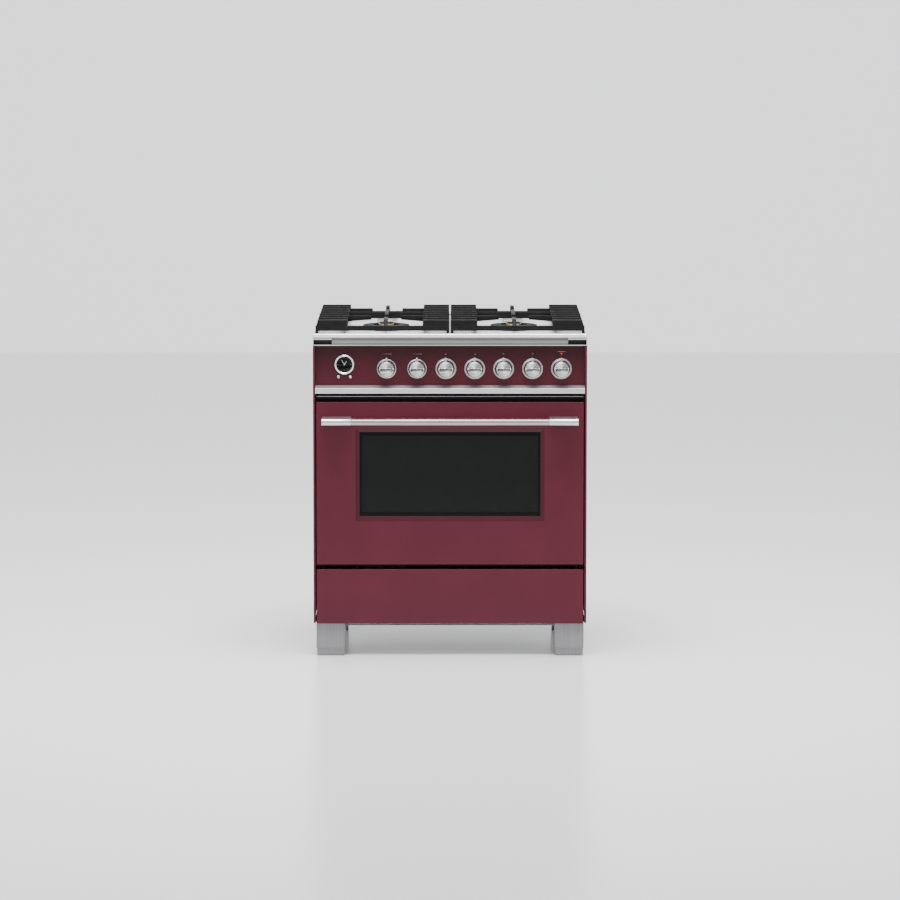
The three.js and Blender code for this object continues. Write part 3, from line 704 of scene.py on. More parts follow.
def shellPanels():
    # the two sides keep their folded shape and get real edges
    for side in ("right", "left"):
        name = "side_panel_" + side
        sheetFinish(softenEdges(mergedCopy(name), 0.5 * mm), name, burgundy)
    low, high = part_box("control_panel")
    fold = 1.5 * mm
    section = [
        (low.y, low.z), (high.y, low.z), (high.y, low.z + fold), (low.y + fold, low.z + fold),
        (low.y + fold, high.z - fold), (high.y, high.z - fold), (high.y, high.z), (low.y, high.z),
    ]
    panel = softenEdges(outlineSolid(section, "X", low.x, high.x), 0.5 * mm)
    through = (low.y - 1 * mm, low.y + 3 * mm)
    cutters = [rod("Y", 7 * mm, *through, x, dialHeight) for x in dialPlaces]
    for name, radius in (
        ("clock_bezel", 25 * mm), ("clock_button_left", 4.4 * mm), ("clock_button_right", 4.4 * mm),
    ):
        a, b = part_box(name)
        cutters.append(rod("Y", radius, *through, (a.x + b.x) / 2, (a.z + b.z) / 2, 64))
    sheetFinish(punch(panel, cutters), "control_panel", panelShadedBurgundy)
    low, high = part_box("control_rail")
    y0, z0 = low.y, low.z
    section = [
        (y0, z0), (high.y, z0), (high.y, z0 + fold), (y0 + fold, z0 + fold), (y0 + fold, z0 + 13 * mm),
        (y0 + 24.4 * mm, z0 + 19.5 * mm), (high.y, z0 + 19.5 * mm), (high.y, high.z),
        (y0 + 24 * mm, high.z), (y0, z0 + 14.2 * mm),
    ]
    rail = softenEdges(outlineSolid(section, "X", low.x, high.x), 0.7 * mm, 3, 15)
    sheetFinish(rail, "control_rail", railSteel)
    low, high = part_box("back_panel")
    back = slab(low, high, 0.4 * mm)
    through = (low.y - 2 * mm, high.y + 2 * mm)
    inlet = {"x": 0.352, "clear": 17 * mm}
    vent = {"rows": (0.18, 0.74), "pitch": 70 * mm, "half": 25 * mm, "tall": 8 * mm}
    cutters = [rod("Y", inlet["clear"], *through, inlet["x"], dialHeight)]
    for row in vent["rows"]:
        for i in range(-4, 5):
            x = i * vent["pitch"]
            nearCorner = (x - vent["half"], through[0], row)
            cutters.append(slab(nearCorner, (x + vent["half"], through[1], row + vent["tall"])))
    sheetFinish(punch(back, cutters), "back_panel", zinc)
    screw = turned([(0, 1.8 * mm), (2 * mm, 1.6 * mm), (3.4 * mm, 0.9 * mm), (3.8 * mm, 0), (0, 0)], 24)
    screw = punch(screw, [slab((-2.2 * mm, -0.5 * mm, 1 * mm), (2.2 * mm, 0.5 * mm, 3 * mm))])
    screw.rotation_euler = (-math.pi / 2, 0, 0)
    bakePlace(screw)
    heads = []
    for x in (-0.352, -0.12, 0.12, 0.325):
        for z in (0.112, 0.862):
            heads.append(copyOf(screw, (x, high.y, z)))
    for x in (-0.36, 0.36):
        for z in (0.3, 0.5, 0.68):
            heads.append(copyOf(screw, (x, high.y, z)))
    bpy.data.objects.remove(screw)
    finishPiece(joinPieces(heads), "back_screws", "range_body", polished)
    low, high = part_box("chassis_base")
    base = slab(low, high, 0.5 * mm)
    pickFaces(base, lambda middle, normal: normal.z < -0.9 and middle.z < low.z + 0.1 * mm)
    bpy.ops.mesh.inset(thickness=40 * mm)
    bpy.ops.mesh.inset(thickness=3 * mm)
    bpy.ops.transform.translate(value=(0, 0, 1 * mm))
    leaveEdit()
    sheetFinish(base, "chassis_base", zinc)


def hobSheets():
    dims = {"rim": 5 * mm, "frontRim": 9 * mm, "backRim": 4.5 * mm, "surface": 0.894, "insert": 0.327}
    low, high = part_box("hob_tray")
    tray = slab(low, high, 3 * mm, 4)
    pickFaces(tray, lambda middle, normal: normal.z > 0.99)
    left, right = low.x + dims["rim"], high.x - dims["rim"]
    near, far = low.y + dims["frontRim"], high.y - dims["backRim"]
    surface = dims["surface"]
    # the rim rolls down to the cooking surface in four rings: (height, how much further in)
    rings = (high.z, -1.2 * mm), (high.z - 1 * mm, -0.4 * mm), (surface + 1 * mm, 0), (surface, 1 * mm)
    for z, more in rings:
        bpy.ops.mesh.inset(thickness=0.5 * mm)
        fitChosen(tray, (left + more, near + more, z), (right - more, far - more, z))
    leaveEdit()
    cutters = []
    for name, radius in (("front", 42 * mm), ("rear", 26 * mm)):
        for side in ("left", "right"):
            a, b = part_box("burner_body_" + name + "_" + side)
            cutters.append(rod("Z", radius, low.z - 1 * mm, high.z, (a.x + b.x) / 2, (a.y + b.y) / 2, 48))
    sheetFinish(punch(tray, cutters), "hob_tray", hobSteel)
    low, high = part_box("hob_frame")
    frameBand = slab(low, high, 0.8 * mm)
    half = dims["insert"]
    recess = slab((-half, low.y - 5 * mm, low.z - 5 * mm), (half, low.y + 12 * mm, high.z + 5 * mm))
    sheetFinish(punch(frameBand, [recess]), "hob_frame", steelAcross)
    band = slab(
        (-half, low.y + 1.5 * mm, low.z + 1.8 * mm), (half, low.y + 12.2 * mm, high.z - 1.7 * mm),
        0.4 * mm,
    )
    # painted shade: a black sheet at the back of the recess gives the dark gaps above and below the band
    shadowGap = slab((-half, low.y + 11 * mm, low.z), (half, low.y + 12.5 * mm, high.z + 0.4 * mm))
    finishPiece(shadowGap, "hob_frame_shade_sheet", "range_body", blackEnamel)
    finishPiece(band, "hob_frame_band", "range_body", satinAcross)
    low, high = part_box("rear_vent_trim")
    trim = slab(low, high, 1 * mm, 3)
    slot = {"pitch": 54 * mm, "half": 20 * mm, "front": 11 * mm, "back": 19 * mm, "deep": 8 * mm}
    cutters = []
    for i in range(-6, 7):
        x = i * slot["pitch"]
        nearCorner = (x - slot["half"], low.y + slot["front"], high.z - slot["deep"])
        farCorner = (x + slot["half"], low.y + slot["back"], high.z + 1 * mm)
        cutters.append(slab(nearCorner, farCorner))
    sheetFinish(punch(trim, cutters), "rear_vent_trim", steelAcross)


def ovenShell():
    dims = {"half": 0.3, "z0": 0.3, "z1": 0.69, "corner": 22 * mm, "wall": 2 * mm}
    half, z0, z1, corner, wall = dims.values()
    low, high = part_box("front_frame")
    plate = outlineSolid(roundedOutline(high.x, low.z, high.z, 3 * mm, 3), "Y", high.y - 3 * mm, high.y)
    softenEdges(plate, 0.5 * mm)
    hole = outlineSolid(roundedOutline(half, z0, z1, corner), "Y", high.y - 9 * mm, high.y + 9 * mm)
    punch(plate, [hole])
    bladeHalf = doorHigh.x
    blade = slab((-bladeHalf, low.y, 0.7236), (bladeHalf, high.y - 2 * mm, 0.7256), 0.3 * mm)
    sheetFinish(joinPieces([plate, blade]), "front_frame", blackEnamel)
    low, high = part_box("oven_cavity")
    outer = outlineSolid(
        roundedOutline(half + wall, z0 - wall, z1 + wall, corner + wall), "Y", low.y, high.y,
    )
    inner = outlineSolid(roundedOutline(half, z0, z1, corner), "Y", low.y - 9 * mm, high.y - wall)
    parts = [punch(outer, [inner])]
    for z in (0.412, 0.532):
        for side in (-1, 1):
            a, b = sorted((side * 0.288, side * 0.3005))
            parts.append(slab((a, frontY + 0.07, z), (b, frontY + 0.49, z + 4 * mm), 1.2 * mm, 3))
    sheetFinish(joinPieces(parts), "oven_cavity", blackEnamel)
    low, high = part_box("oven_fan_cover")
    cover = turned(
        [
            (0, 9.7 * mm), (60 * mm, 9.7 * mm), (116 * mm, 9.2 * mm), (121 * mm, 7.6 * mm),
            (128 * mm, 4 * mm), (130 * mm, 2.6 * mm), (130 * mm, 0), (0, 0),
        ]
    )
    cutters = []
    slots = {"count": 16, "start": 45 * mm, "end": 104 * mm, "half": 3.4 * mm}
    for i in range(slots["count"]):
        nearCorner = (slots["start"], -slots["half"], -5 * mm)
        slot = slab(nearCorner, (slots["end"], slots["half"], 15 * mm))
        slot.rotation_euler = (0, 0, i * 2 * math.pi / slots["count"])
        cutters.append(bakePlace(slot))
    facing(punch(cover, cutters), 0, high.y, (low.z + high.z) / 2)
    sheetFinish(cover, "oven_fan_cover", blackEnamel)


def hingeArms():
    low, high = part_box("door_hinge_right")
    x, y, z = (low.x + high.x) / 2, low.y + 6 * mm, (low.z + high.z) / 2
    arm = slab((x - 4 * mm, low.y, low.z), (x + 4 * mm, high.y, high.z), 1.5 * mm, 3)
    pin = softenEdges(rod("X", 4 * mm, low.x, high.x, y, z, 32), 0.6 * mm)
    washer = softenEdges(rod("X", 6 * mm, x - 6 * mm, x + 6 * mm, y, z, 32), 0.6 * mm)
    hinge = joinPieces([arm, pin, washer])
    sheetFinish(mirroredCopy(hinge), "door_hinge_left", zinc)
    sheetFinish(hinge, "door_hinge_right", zinc)


dialNames = ["oven_function_knob", "oven_temperature_knob"]
dialNames += ["burner_knob_%d" % number for number in (1, 2, 3, 4)] + ["oven_gas_knob"]
dialPlaces = [(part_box(name)[0].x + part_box(name)[1].x) / 2 for name in dialNames]
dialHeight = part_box(dialNames[0])[0].z + 21 * mm
railSteel = makeBrushed("railSteel", (0.54, 0.52, 0.525), (0.68, 0.66, 0.665), 0.38)
railSteel.node_tree.nodes["Principled BSDF"].inputs["Metallic"].default_value = 0.86

doorAndDrawer()
shellPanels()
hobSheets()
ovenShell()
hingeArms()
print("sheet metal ready")


# steel channel under the hob


def ventChannel():
    low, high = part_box("hob_vent_channel")
    dims = {"insertHalf": 0.327, "insertBack": 8 * mm, "floor": 3 * mm, "wall": 2 * mm}
    half = high.x
    floor = slab((low.x, low.y, low.z), (high.x, high.y, low.z + dims["floor"]), 0.5 * mm)
    walls = [
        slab(
            (side * half - side * dims["wall"], low.y, low.z + 2 * mm), (side * half, high.y, high.z),
            0.3 * mm,
        )
        if side > 0
        else slab((-half, low.y, low.z + 2 * mm), (dims["wall"] - half, high.y, high.z), 0.3 * mm)
        for side in (-1, 1)
    ]
    channel = joinPieces([floor, *walls])
    finishPiece(
        channel, "vent_channel_shell", "range_body", steelAcross, ["hob_vent_channel"],
    )
    insert = slab(
        (-dims["insertHalf"], low.y + dims["insertBack"], low.z + dims["floor"]),
        (dims["insertHalf"], low.y + dims["insertBack"] + 4 * mm, high.z),
        0.5 * mm,
    )
    finishPiece(insert, "vent_channel_insert", "range_body", satinAcross)
    # painted shade: a black sheet closes the back of the channel, where the inside is in shade
    shadeSheet = slab(
        (low.x + 2 * mm, high.y - 1 * mm, low.z + dims["floor"]),
        (high.x - 2 * mm, high.y, high.z),
        0.2 * mm,
    )
    finishPiece(shadeSheet, "vent_channel_shade_sheet", "range_body", blackEnamel)
    # painted shade: dark burgundy blocks at the vent's ends stand for the control panel in shadow
    for side in (-1, 1):
        a, b = sorted((side * dims["insertHalf"], side * (half - dims["wall"])))
        end = slab(
            (a, low.y + 14 * mm, low.z + dims["floor"]), (b, low.y + 17 * mm, high.z), 0.5 * mm
        )
        name = "vent_channel_end_right" if side > 0 else "vent_channel_end_left"
        finishPiece(end, name, "range_body", ventShadeBurgundy)


ventChannel()


# legs


def legs():
    dims = {"edge": 1.2 * mm, "footTop": 22 * mm, "slack": 1.7 * mm, "pad": 1 * mm}
    for end in ("front", "rear"):
        for side in ("right", "left"):
            name = "leg_" + end + "_" + side
            low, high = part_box(name)
            sleeve = slab((low.x, low.y, dims["footTop"] - 1 * mm), high, dims["edge"], 3)
            # the sleeve is open below, so its foot slides into it
            pickFaces(sleeve, lambda middle, normal: normal.z < -0.9)
            bpy.ops.mesh.inset(thickness=1.2 * mm)
            bpy.ops.mesh.extrude_region_move(TRANSFORM_OT_translate={"value": (0, 0, 8 * mm)})
            leaveEdit()
            finishPiece(sleeve, name + "_sleeve", "range_body", steelUpright, [name])
            s = dims["slack"]
            foot = slab((low.x + s, low.y + s, dims["pad"]), (high.x - s, high.y - s, 28 * mm), 1.0 * mm, 3)
            finishPiece(foot, name + "_foot", "range_body", steelUpright)
            pad = slab(
                (low.x + 3 * s, low.y + 3 * s, 0), (
                    high.x - 3 * s, high.y - 3 * s, dims["pad"] + 0.5 * mm,
                ), 0.8 * mm
            )
            finishPiece(pad, name + "_pad", "range_body", blackPlastic)


legs()
print("legs ready")


# handle


def handleParts():
    dims = {
        "bar": 8.65 * mm, "sleeve": 10 * mm, "innerX": 0.274, "outerX": 0.354, "z": 0.661, "out": 65 * mm,
    }
    end, chamfer, endRadius = 0.3095, 1 * mm, 7.6 * mm
    axisY = frontY - dims["out"]
    bar = turned(
        [
            (0, -end), (endRadius, -end), (dims["bar"], chamfer - end), (dims["bar"], end - chamfer),
            (endRadius, end), (0, end),
        ]
    )
    bar.rotation_euler = (0, math.pi / 2, 0)
    bar.location = (0, axisY, dims["z"])
    bakePlace(bar)
    finishPiece(bar, "handle_grip", "oven_door", handleSteel, ["handle_bar"])
    length = dims["outerX"] - dims["innerX"]
    sleeve = turned(
        [
            (8.9 * mm, 0.0004),
            (9.6 * mm, 0),
            (dims["sleeve"], 0.0006),
            (dims["sleeve"], length - 0.0012),
            (8.8 * mm, length),
            (7.2 * mm, length),
            (6.8 * mm, length - 0.0008),
            (0, length - 0.0008),
        ]
    )
    sleeve.rotation_euler = (0, math.pi / 2, 0)
    sleeve.location = (dims["innerX"], axisY, dims["z"])
    bakePlace(sleeve)
    stand = slab(
        (dims["innerX"], axisY + 2 * mm, dims["z"] - 9 * mm),
        (dims["outerX"], frontY - 0.3 * mm, dims["z"] + 9 * mm),
        1.4 * mm,
        3,
    )
    # an inset loop on the face where the bracket meets the door
    pickFaces(stand, lambda middle, normal: normal.y > 0.9)
    bpy.ops.mesh.inset(thickness=1.5 * mm)
    leaveEdit()
    bracket = joinPieces([stand, sleeve])
    twin = mirroredCopy(bracket)
    finishPiece(
        bracket, "handle_stand_right", "oven_door", steelAcross,
        ["handle_bracket_right"],
    )
    finishPiece(
        twin, "handle_stand_left", "oven_door", steelAcross, ["handle_bracket_left"],
    )


handleParts()
print("handle ready")


# dials


def dialParts():
    # heights run towards the user: knob from the door's front plane, rings from the panel
    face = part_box("control_panel")[0].y
    rings = [
        (0, 14.3), (9, 14.1), (15.6, 13.9), (16.6, 14), (17.6, 14.6), (18.4, 14.95), (19.3, 14.8), (20, 14),
        (20.4, 6), (20.8, -4), (21, -6), (21, -13.6), (20.3, -14.8), (4, -14.8), (3.5, -14.2),
        (3.5, 5), (0, 5),
    ]
    knob = facing(turned([(r * mm, h * mm) for r, h in rings]), 0, frontY, 0)
    tab = slab(
        (-2.6 * mm, frontY + 7.3 * mm, 17 * mm), (2.6 * mm, frontY + 12.5 * mm, 31 * mm), 1.2 * mm, 3,
    )
    knob = joinPieces([knob, tab])
    profiles = {
        "ring": (
            [
                (22.2, 0), (26.4, 0), (27, 0.5), (27, 1.7), (26.3, 2.4), (24.8, 2.5), (22.8, 1.4),
                (22.2, 0.6), (22.2, 0),
            ],
            ringSteel, "bright_steel",
        ),
        "halo": (
            [(26.9, 0), (28.4, 0), (28.8, 0.4), (28.8, 1.0), (28.4, 1.3), (26.9, 1.3), (26.9, 0)],
            darkSteel, "bright_steel",
        ),
        "well": (
            [(6.5, 0), (22.3, 0), (22.3, 0.5), (7, 0.5), (6.5, 0.2), (6.5, 0)], blackPlastic,
            "black_enamel",
        ),
    }
    masters = {}
    for kind, (points, *_) in profiles.items():
        masters[kind] = facing(turned([(r * mm, h * mm) for r, h in points]), 0, face, 0)
    for index, name in enumerate(dialNames):
        place = (dialPlaces[index], 0, dialHeight)
        body = nodes[name]["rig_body"]
        finishPiece(copyOf(knob, place), name + "_turned", body, turnedSteel, [name])
        for kind, (_, surface, slotName) in profiles.items():
            if kind == "halo" and index < 2:
                continue
            finishPiece(copyOf(masters[kind], place), name + "_" + kind, "range_body", surface)
    for master in (knob, *masters.values()):
        bpy.data.objects.remove(master)
    return face


panelFace = dialParts()
print("dials ready")


# generic marks over the dials


def dialMarks():
    dims = {
        "z": 0.842, "barTall": 1 * mm, "barZ": 0.8485, "redTop": 0.8452, "redTip": 0.8385,
        "redHalf": 4 * mm,
    }
    y0, y1 = panelFace - 0.15 * mm, panelFace + 0.05 * mm

    def bar(x, z, half):
        tall = dims["barTall"] / 2
        return slab((x - half, y0, z - tall), (x + half, y1, z + tall), 0.05 * mm, 1)

    def dot(x, z, radius):
        profile = [(0, 0.12), (radius * 0.8, 0.12), (radius, 0.05), (radius, -0.05), (0, -0.05)]
        return facing(turned([(r * mm, h * mm) for r, h in profile], 20), x, panelFace, z)

    for index, x in enumerate(dialPlaces):
        z = dims["z"]
        if index < 2:
            # a scale of short bars that grows to the right
            parts = [bar(x + (i - 2) * 5.4 * mm, z, (0.8 + 0.35 * i) * mm) for i in range(5)]
        elif index < 6:
            # four dots stand for the burners, and the larger one is this dial's
            parts = []
            for spot in range(4):
                radius = 1.0 if spot == index - 2 else 0.5
                parts.append(dot(x + (spot % 2 - 0.5) * 2.6 * mm, z + (spot // 2 - 0.5) * 2.6 * mm, radius))
        else:
            parts = [bar(x, dims["barZ"], 10 * mm)]
            half = dims["redHalf"]
            corners = [(x - half, dims["redTop"]), (x, dims["redTip"]), (x + half, dims["redTop"])]
            flag = outlineSolid(corners, "Y", y0, y1)
            finishPiece(flag, "dial_mark_red", "range_body", redPrint)
        finishPiece(
            joinPieces(parts), "dial_mark_%d" % (index + 1), "range_body", whitePrint,
        )


dialMarks()


# clock


def clockParts():
    low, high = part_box("clock_bezel")
    x, z = (low.x + high.x) / 2, (low.z + high.z) / 2
    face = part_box("clock_face")[0].y
    bezel = turned(
        [
            (22.4 * mm, -1 * mm),
            (22.4 * mm, 5.6 * mm),
            (22.9 * mm, 6.2 * mm),
            (24 * mm, 6.9 * mm),
            (25.8 * mm, 6.6 * mm),
            (27.3 * mm, 5.2 * mm),
            (28 * mm, 3 * mm),
            (28 * mm, 0.2 * mm),
            (24.5 * mm, 0),
            (24.5 * mm, -9 * mm),
            (22.4 * mm, -9 * mm),
            (22.4 * mm, -1 * mm),
        ]
    )
    facing(bezel, x, panelFace, z)
    finishPiece(bezel, "clock_rim", "range_body", polished, ["clock_bezel"])
    dial = turned(
        [(0, 0), (21.4 * mm, 0), (22.2 * mm, 0.5 * mm), (22.2 * mm, -8 * mm), (0, -8 * mm)]
    )
    facing(dial, x, face + 1.2 * mm, z)
    finishPiece(dial, "clock_dial", "range_body", dialGlass, ["clock_face"])
    ticks = []
    for hour in range(12):
        angle = hour * math.pi / 6
        length = 3.2 * mm if hour % 3 == 0 else 1.8 * mm
        tick = slab((-0.35 * mm, 0, 20.2 * mm - length), (0.35 * mm, 0.3 * mm, 20.2 * mm), 0.08 * mm, 1)
        tick.rotation_euler = (0, angle, 0)
        tick.location = (x, face + 0.9 * mm, z)
        ticks.append(bakePlace(tick))
    finishPiece(joinPieces(ticks), "clock_ticks", "range_body", whitePrint)
    hands = []
    for angle, length, width in ((-0.55, 15.5 * mm, 0.7 * mm), (0.62, 11 * mm, 0.9 * mm)):
        hand = outlineSolid(
            [(-width, -2 * mm), (width, -2 * mm), (width * 0.5, length), (-width * 0.5, length)], "Y", 0,
            0.35 * mm,
        )
        hand.rotation_euler = (0, angle, 0)
        hand.location = (x, face + 0.5 * mm, z)
        hands.append(bakePlace(hand))
    hub = facing(
        turned([(0, 0.9 * mm), (1.3 * mm, 0.8 * mm), (1.7 * mm, 0.4 * mm), (1.7 * mm, 0), (0, 0)], 32), x,
        face + 0.95 * mm, z,
    )
    finishPiece(joinPieces([*hands, hub]), "clock_hands", "range_body", handMetal)
    for side in ("left", "right"):
        name = "clock_button_" + side
        low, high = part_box(name)
        centre = ((low.x + high.x) / 2, (low.z + high.z) / 2)
        button = turned(
            [
                (0, 5.5 * mm),
                (2.4 * mm, 5.35 * mm),
                (3.4 * mm, 4.9 * mm),
                (4 * mm, 3.9 * mm),
                (4 * mm, -4 * mm),
                (6 * mm, -4 * mm),
                (6 * mm, -5.5 * mm),
                (0, -5.5 * mm),
            ],
            48,
        )
        facing(button, centre[0], panelFace, centre[1])
        finishPiece(button, name + "_cap", nodes[name]["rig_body"], turnedSteel, [name])
        collar = turned(
            [
                (4.5 * mm, 0), (5.4 * mm, 0), (5.6 * mm, 0.3 * mm), (5.2 * mm, 0.8 * mm),
                (4.5 * mm, 0.8 * mm), (4.5 * mm, 0),
            ],
            48,
        )
        facing(collar, centre[0], panelFace, centre[1])
        finishPiece(collar, name + "_collar", "range_body", blackPlastic)


clockParts()
print("clock ready")


# burners


def ports(piece, radius, z0, z1, count, depth):
    # flame ports: every other side face between two heights is pushed in towards the axis
    centre = Vector(piece["axisPoint"])
    enterEdit(piece, "FACE", chosen=False)
    leaveEdit()
    for face in piece.data.polygons:
        offset = face.center - centre
        angle = math.atan2(offset.y, offset.x) % (2 * math.pi)
        step = int(angle / (2 * math.pi) * count)
        onSide = abs(math.hypot(offset.x, offset.y) - radius) < 0.6 * mm and z0 < face.center.z < z1
        face.select = onSide and step % 2 == 0
    bpy.ops.object.mode_set(mode="EDIT")
    bpy.ops.mesh.inset(thickness=0.25 * mm, use_individual=True)
    bpy.ops.mesh.extrude_region_shrink_fatten(TRANSFORM_OT_shrink_fatten={"value": -depth})
    leaveEdit()


def upright(piece, x, y):
    piece.location = (x, y, 0)
    bakePlace(piece)
    piece["axisPoint"] = (x, y, 0)
    return piece


def burnerParts():
    for side in ("left", "right"):
        low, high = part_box("burner_body_front_" + side)
        x, y = (low.x + high.x) / 2, (low.y + high.y) / 2
        base = turned(
            [
                (0, 0.868), (0.040, 0.868), (0.040, 0.8943), (0.055, 0.8943), (0.0585, 0.8955),
                (0.0615, 0.8985),
                (0.062, 0.8995), (0.062, 0.9035), (0.0613, 0.9047), (0.0386, 0.9047), (0.038, 0.9042),
                (0.0365, 0.9),
                (0.024, 0.8995), (0, 0.8995),
            ],
            96,
        )
        upright(base, x, y)
        ports(base, 0.062, 0.8995, 0.9035, 96, 1.2 * mm)
        finishPiece(
            base, "front_burner_base_" + side, "range_body", alloy,
            ["burner_body_front_" + side],
        )
        ring = turned(
            [
                (0.038, 0.9052), (0.0648, 0.9052), (0.0655, 0.9058), (0.0655, 0.9068), (0.0648, 0.9078),
                (0.060, 0.9090),
                (0.052, 0.9095), (0.043, 0.9093), (0.0388, 0.9085), (0.038, 0.9078), (0.038, 0.9052),
            ],
            96,
        )
        upright(ring, x, y)
        finishPiece(
            ring, "front_burner_ring_" + side, "range_body", castIron,
            ["burner_cap_front_" + side],
        )
        crown = turned(
            [
                (0, 0.8997), (0.0235, 0.8997), (0.0235, 0.9015), (0.0212, 0.903), (0.021, 0.9035),
                (0.021, 0.9095),
                (0.0205, 0.9108), (0.0188, 0.9112), (0, 0.9112),
            ],
            96,
        )
        upright(crown, x, y)
        ports(crown, 0.021, 0.9035, 0.9095, 48, 0.9 * mm)
        finishPiece(crown, "front_burner_crown_" + side, "range_body", brass)
        centre = turned(
            [
                (0, 0.9114), (0.0188, 0.9114), (0.0194, 0.912), (0.019, 0.9138), (0.0165, 0.9152),
                (0.010, 0.9158), (0, 0.916),
            ],
            96,
        )
        upright(centre, x, y)
        finishPiece(centre, "front_burner_centre_" + side, "range_body", castIron)
        low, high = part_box("burner_body_rear_" + side)
        x, y = (low.x + high.x) / 2, (low.y + high.y) / 2
        base = turned(
            [
                (0, 0.868), (0.024, 0.868), (0.024, 0.8943), (0.0295, 0.8943), (0.0305, 0.8952),
                (0.0305, 0.8985),
                (0.0288, 0.8995), (0.0288, 0.9055), (0.0305, 0.906), (0.0305, 0.9067), (0, 0.9067),
            ],
            72,
        )
        upright(base, x, y)
        ports(base, 0.0288, 0.8995, 0.9055, 72, 0.9 * mm)
        finishPiece(
            base, "rear_burner_base_" + side, "range_body", alloy,
            ["burner_body_rear_" + side],
        )
        cap = turned(
            [
                (0, 0.907), (0.0282, 0.907), (0.029, 0.9078), (0.029, 0.9092), (0.0275, 0.9108),
                (0.02, 0.912), (0.01, 0.9124), (0, 0.9125),
            ],
            72,
        )
        upright(cap, x, y)
        finishPiece(
            cap, "rear_burner_cap_" + side, "range_body", castIron,
            ["burner_cap_rear_" + side],
        )
        for name, place in (
            ("front", (0.179, frontY + 0.211, 0.072)), ("rear", (0.179, frontY + 0.474, 0.038)),
        ):
            reach = place[2]
            px = math.copysign(place[0], x) + reach * 0.72
            py = place[1] + reach * 0.72
            spark = turned(
                [
                    (0, 0.8942), (0.0034, 0.8942), (0.0034, 0.9015), (0.0022, 0.9022), (0.0016, 0.9028),
                    (0.0011, 0.9062), (0, 0.9064),
                ],
                24,
            )
            upright(spark, px, py)
            finishPiece(spark, "igniter_" + name + "_" + side, "range_body", ceramic)


burnerParts()
print("burners ready")


# pan supports


